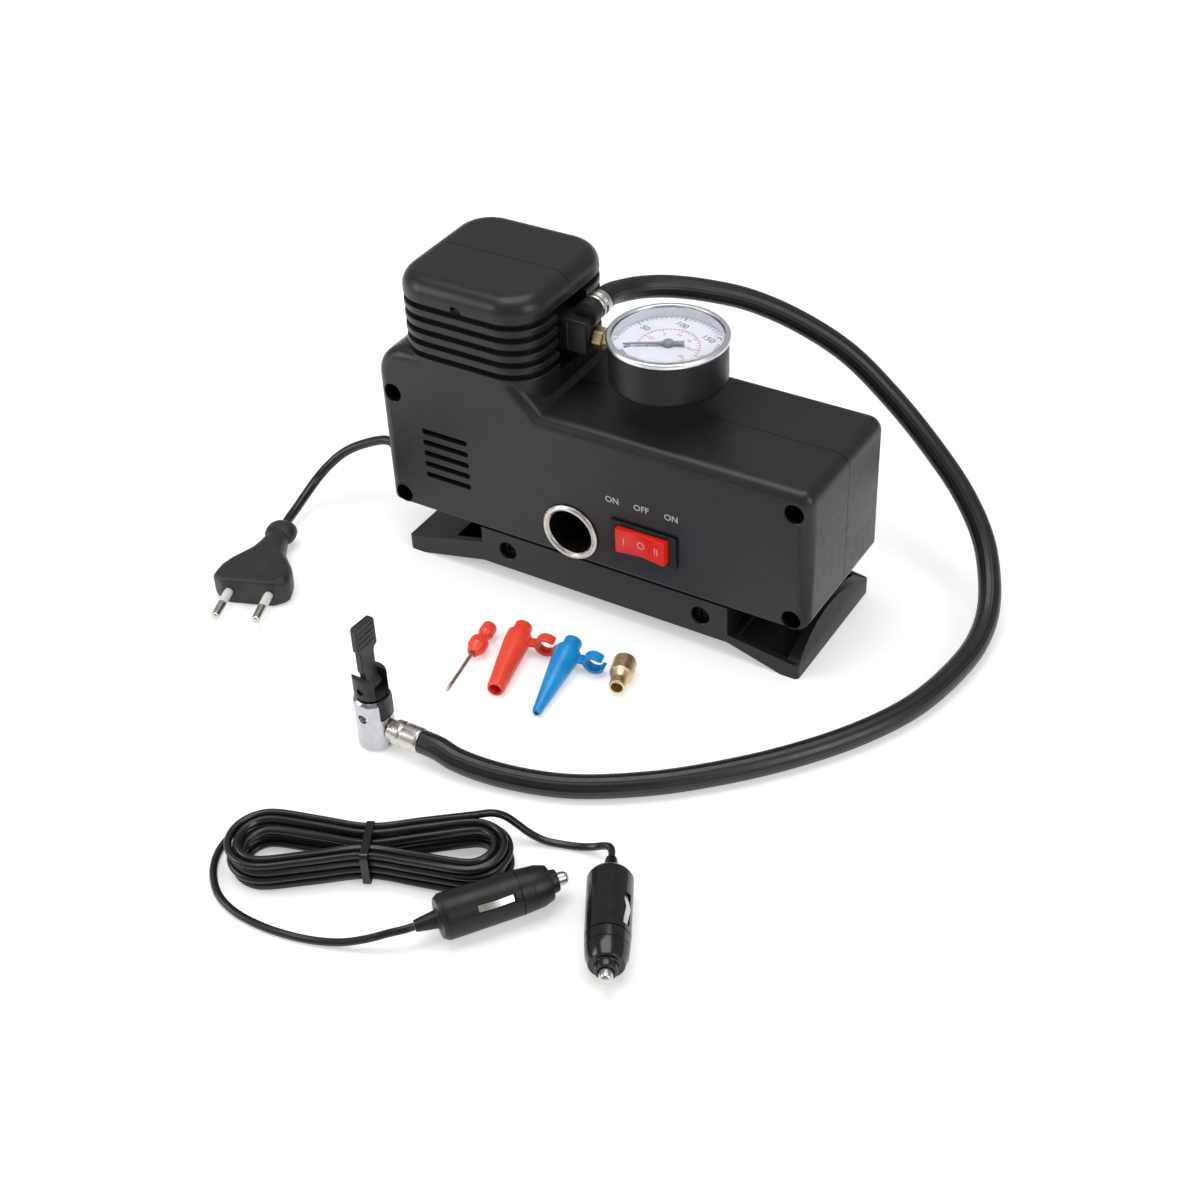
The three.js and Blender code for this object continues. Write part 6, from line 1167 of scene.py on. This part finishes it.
# ---- nodes shown as they are
def dress(material, *names):
    for name in names:
        mesh = frame["nodes"][name].data
        mesh.materials.clear()
        mesh.materials.append(material)


def dress_inner_nodes():
    screws = [name for name in frame["nodes"] if "screw" in name]
    # Screws and the socket's insulator in near-black, the same material as the painted shade in the wells
    dress(RECESS_SHADE_AND_BLACK, "outlet_insulator", *screws)
    dress(BRASS, "outlet_center_contact", "drive_pinion")
    dress(STEEL, "motor_can", "motor_armature", "crank_pin", "valve_plate")
    dress(BLACK, "motor_end_cap", "cooling_fan")
    dress(ALUMINIUM, "pump_frame", "connecting_rod", "piston", "cylinder", "cylinder_head")
    dress(NYLON, "crank_gear")
    dress(CORD_BLACK, "piston_seal")
    dress(BOARD_GREEN, "power_board")


dress_inner_nodes()


# ---- floor and light
FLOOR_LIFT = 0.4
FAR_FLOOR_LIFT = 0.72
WORLD_LEVEL = 0.34


def make_stage():
    """A pale floor: the camera sees it as white, and it keeps the shadows."""
    bm = bmesh.new()
    bmesh.ops.create_circle(bm, cap_ends=True, segments=96, radius=4)
    floor = mesh_object("floor", bm)
    nodes = Nodes("floor_paper", (0.8, 0.8, 0.8), 0.9)
    nodes.colors(nodes.noise(60, 2), (0.3, (0.79, 0.79, 0.79)), (0.7, (0.81, 0.81, 0.81)))
    glow = nodes.add("ShaderNodeEmission")
    path = nodes.add("ShaderNodeLightPath")
    seen = nodes.math("MAXIMUM", path.outputs["Is Camera Ray"], path.outputs["Is Glossy Ray"])
    seen = nodes.math("MAXIMUM", seen, path.outputs["Is Transmission Ray"])
    away = nodes.add("ShaderNodeVectorMath", operation="LENGTH")
    nodes.link(nodes.place, away.inputs[0])
    lift = nodes.spread(away.outputs["Value"], 0.5, 1.8, FLOOR_LIFT, FAR_FLOOR_LIFT)
    nodes.link(nodes.math("MULTIPLY", seen, lift), glow.inputs["Strength"])
    both = nodes.add("ShaderNodeAddShader")
    nodes.link(nodes.shader.outputs[0], both.inputs[0])
    nodes.link(glow.outputs[0], both.inputs[1])
    nodes.link(both.outputs[0], nodes.tree.nodes["Material Output"].inputs["Surface"])
    floor.data.materials.append(nodes.material)


def area(name, place, target, size, power):
    data = bpy.data.lights.new(name, "AREA")
    data.shape = "RECTANGLE"
    data.size, data.size_y = size
    data.energy = power
    made = linked(name, data)
    made.location = place
    made.rotation_euler = (Vector(target) - Vector(place)).to_track_quat("-Z", "Y").to_euler()


def make_light():
    room = bpy.data.worlds.new("room")
    scene.world = room
    room.use_nodes = True
    tree = room.node_tree
    background = tree.nodes["Background"]
    path = tree.nodes.new("ShaderNodeLightPath")
    level = tree.nodes.new("ShaderNodeMapRange")
    tree.links.new(path.outputs["Is Camera Ray"], level.inputs["Value"])
    level.inputs["To Min"].default_value = WORLD_LEVEL
    level.inputs["To Max"].default_value = 1
    background.inputs["Color"].default_value = (1, 1, 1, 1)
    tree.links.new(level.outputs["Result"], background.inputs["Strength"])
    area("top", (-0.1, 0.1, 1.3), (0, 0, 0.05), (1.1, 0.8), 9.5)
    area("left", (-0.62, -0.5, 0.42), (-0.06, 0, 0.06), (0.4, 0.4), 2.2)
    area("right", (1.1, -0.2, 0.7), (0, 0, 0.05), (0.5, 0.7), 5)


make_stage()
make_light()
scene.view_settings.view_transform = "Standard"
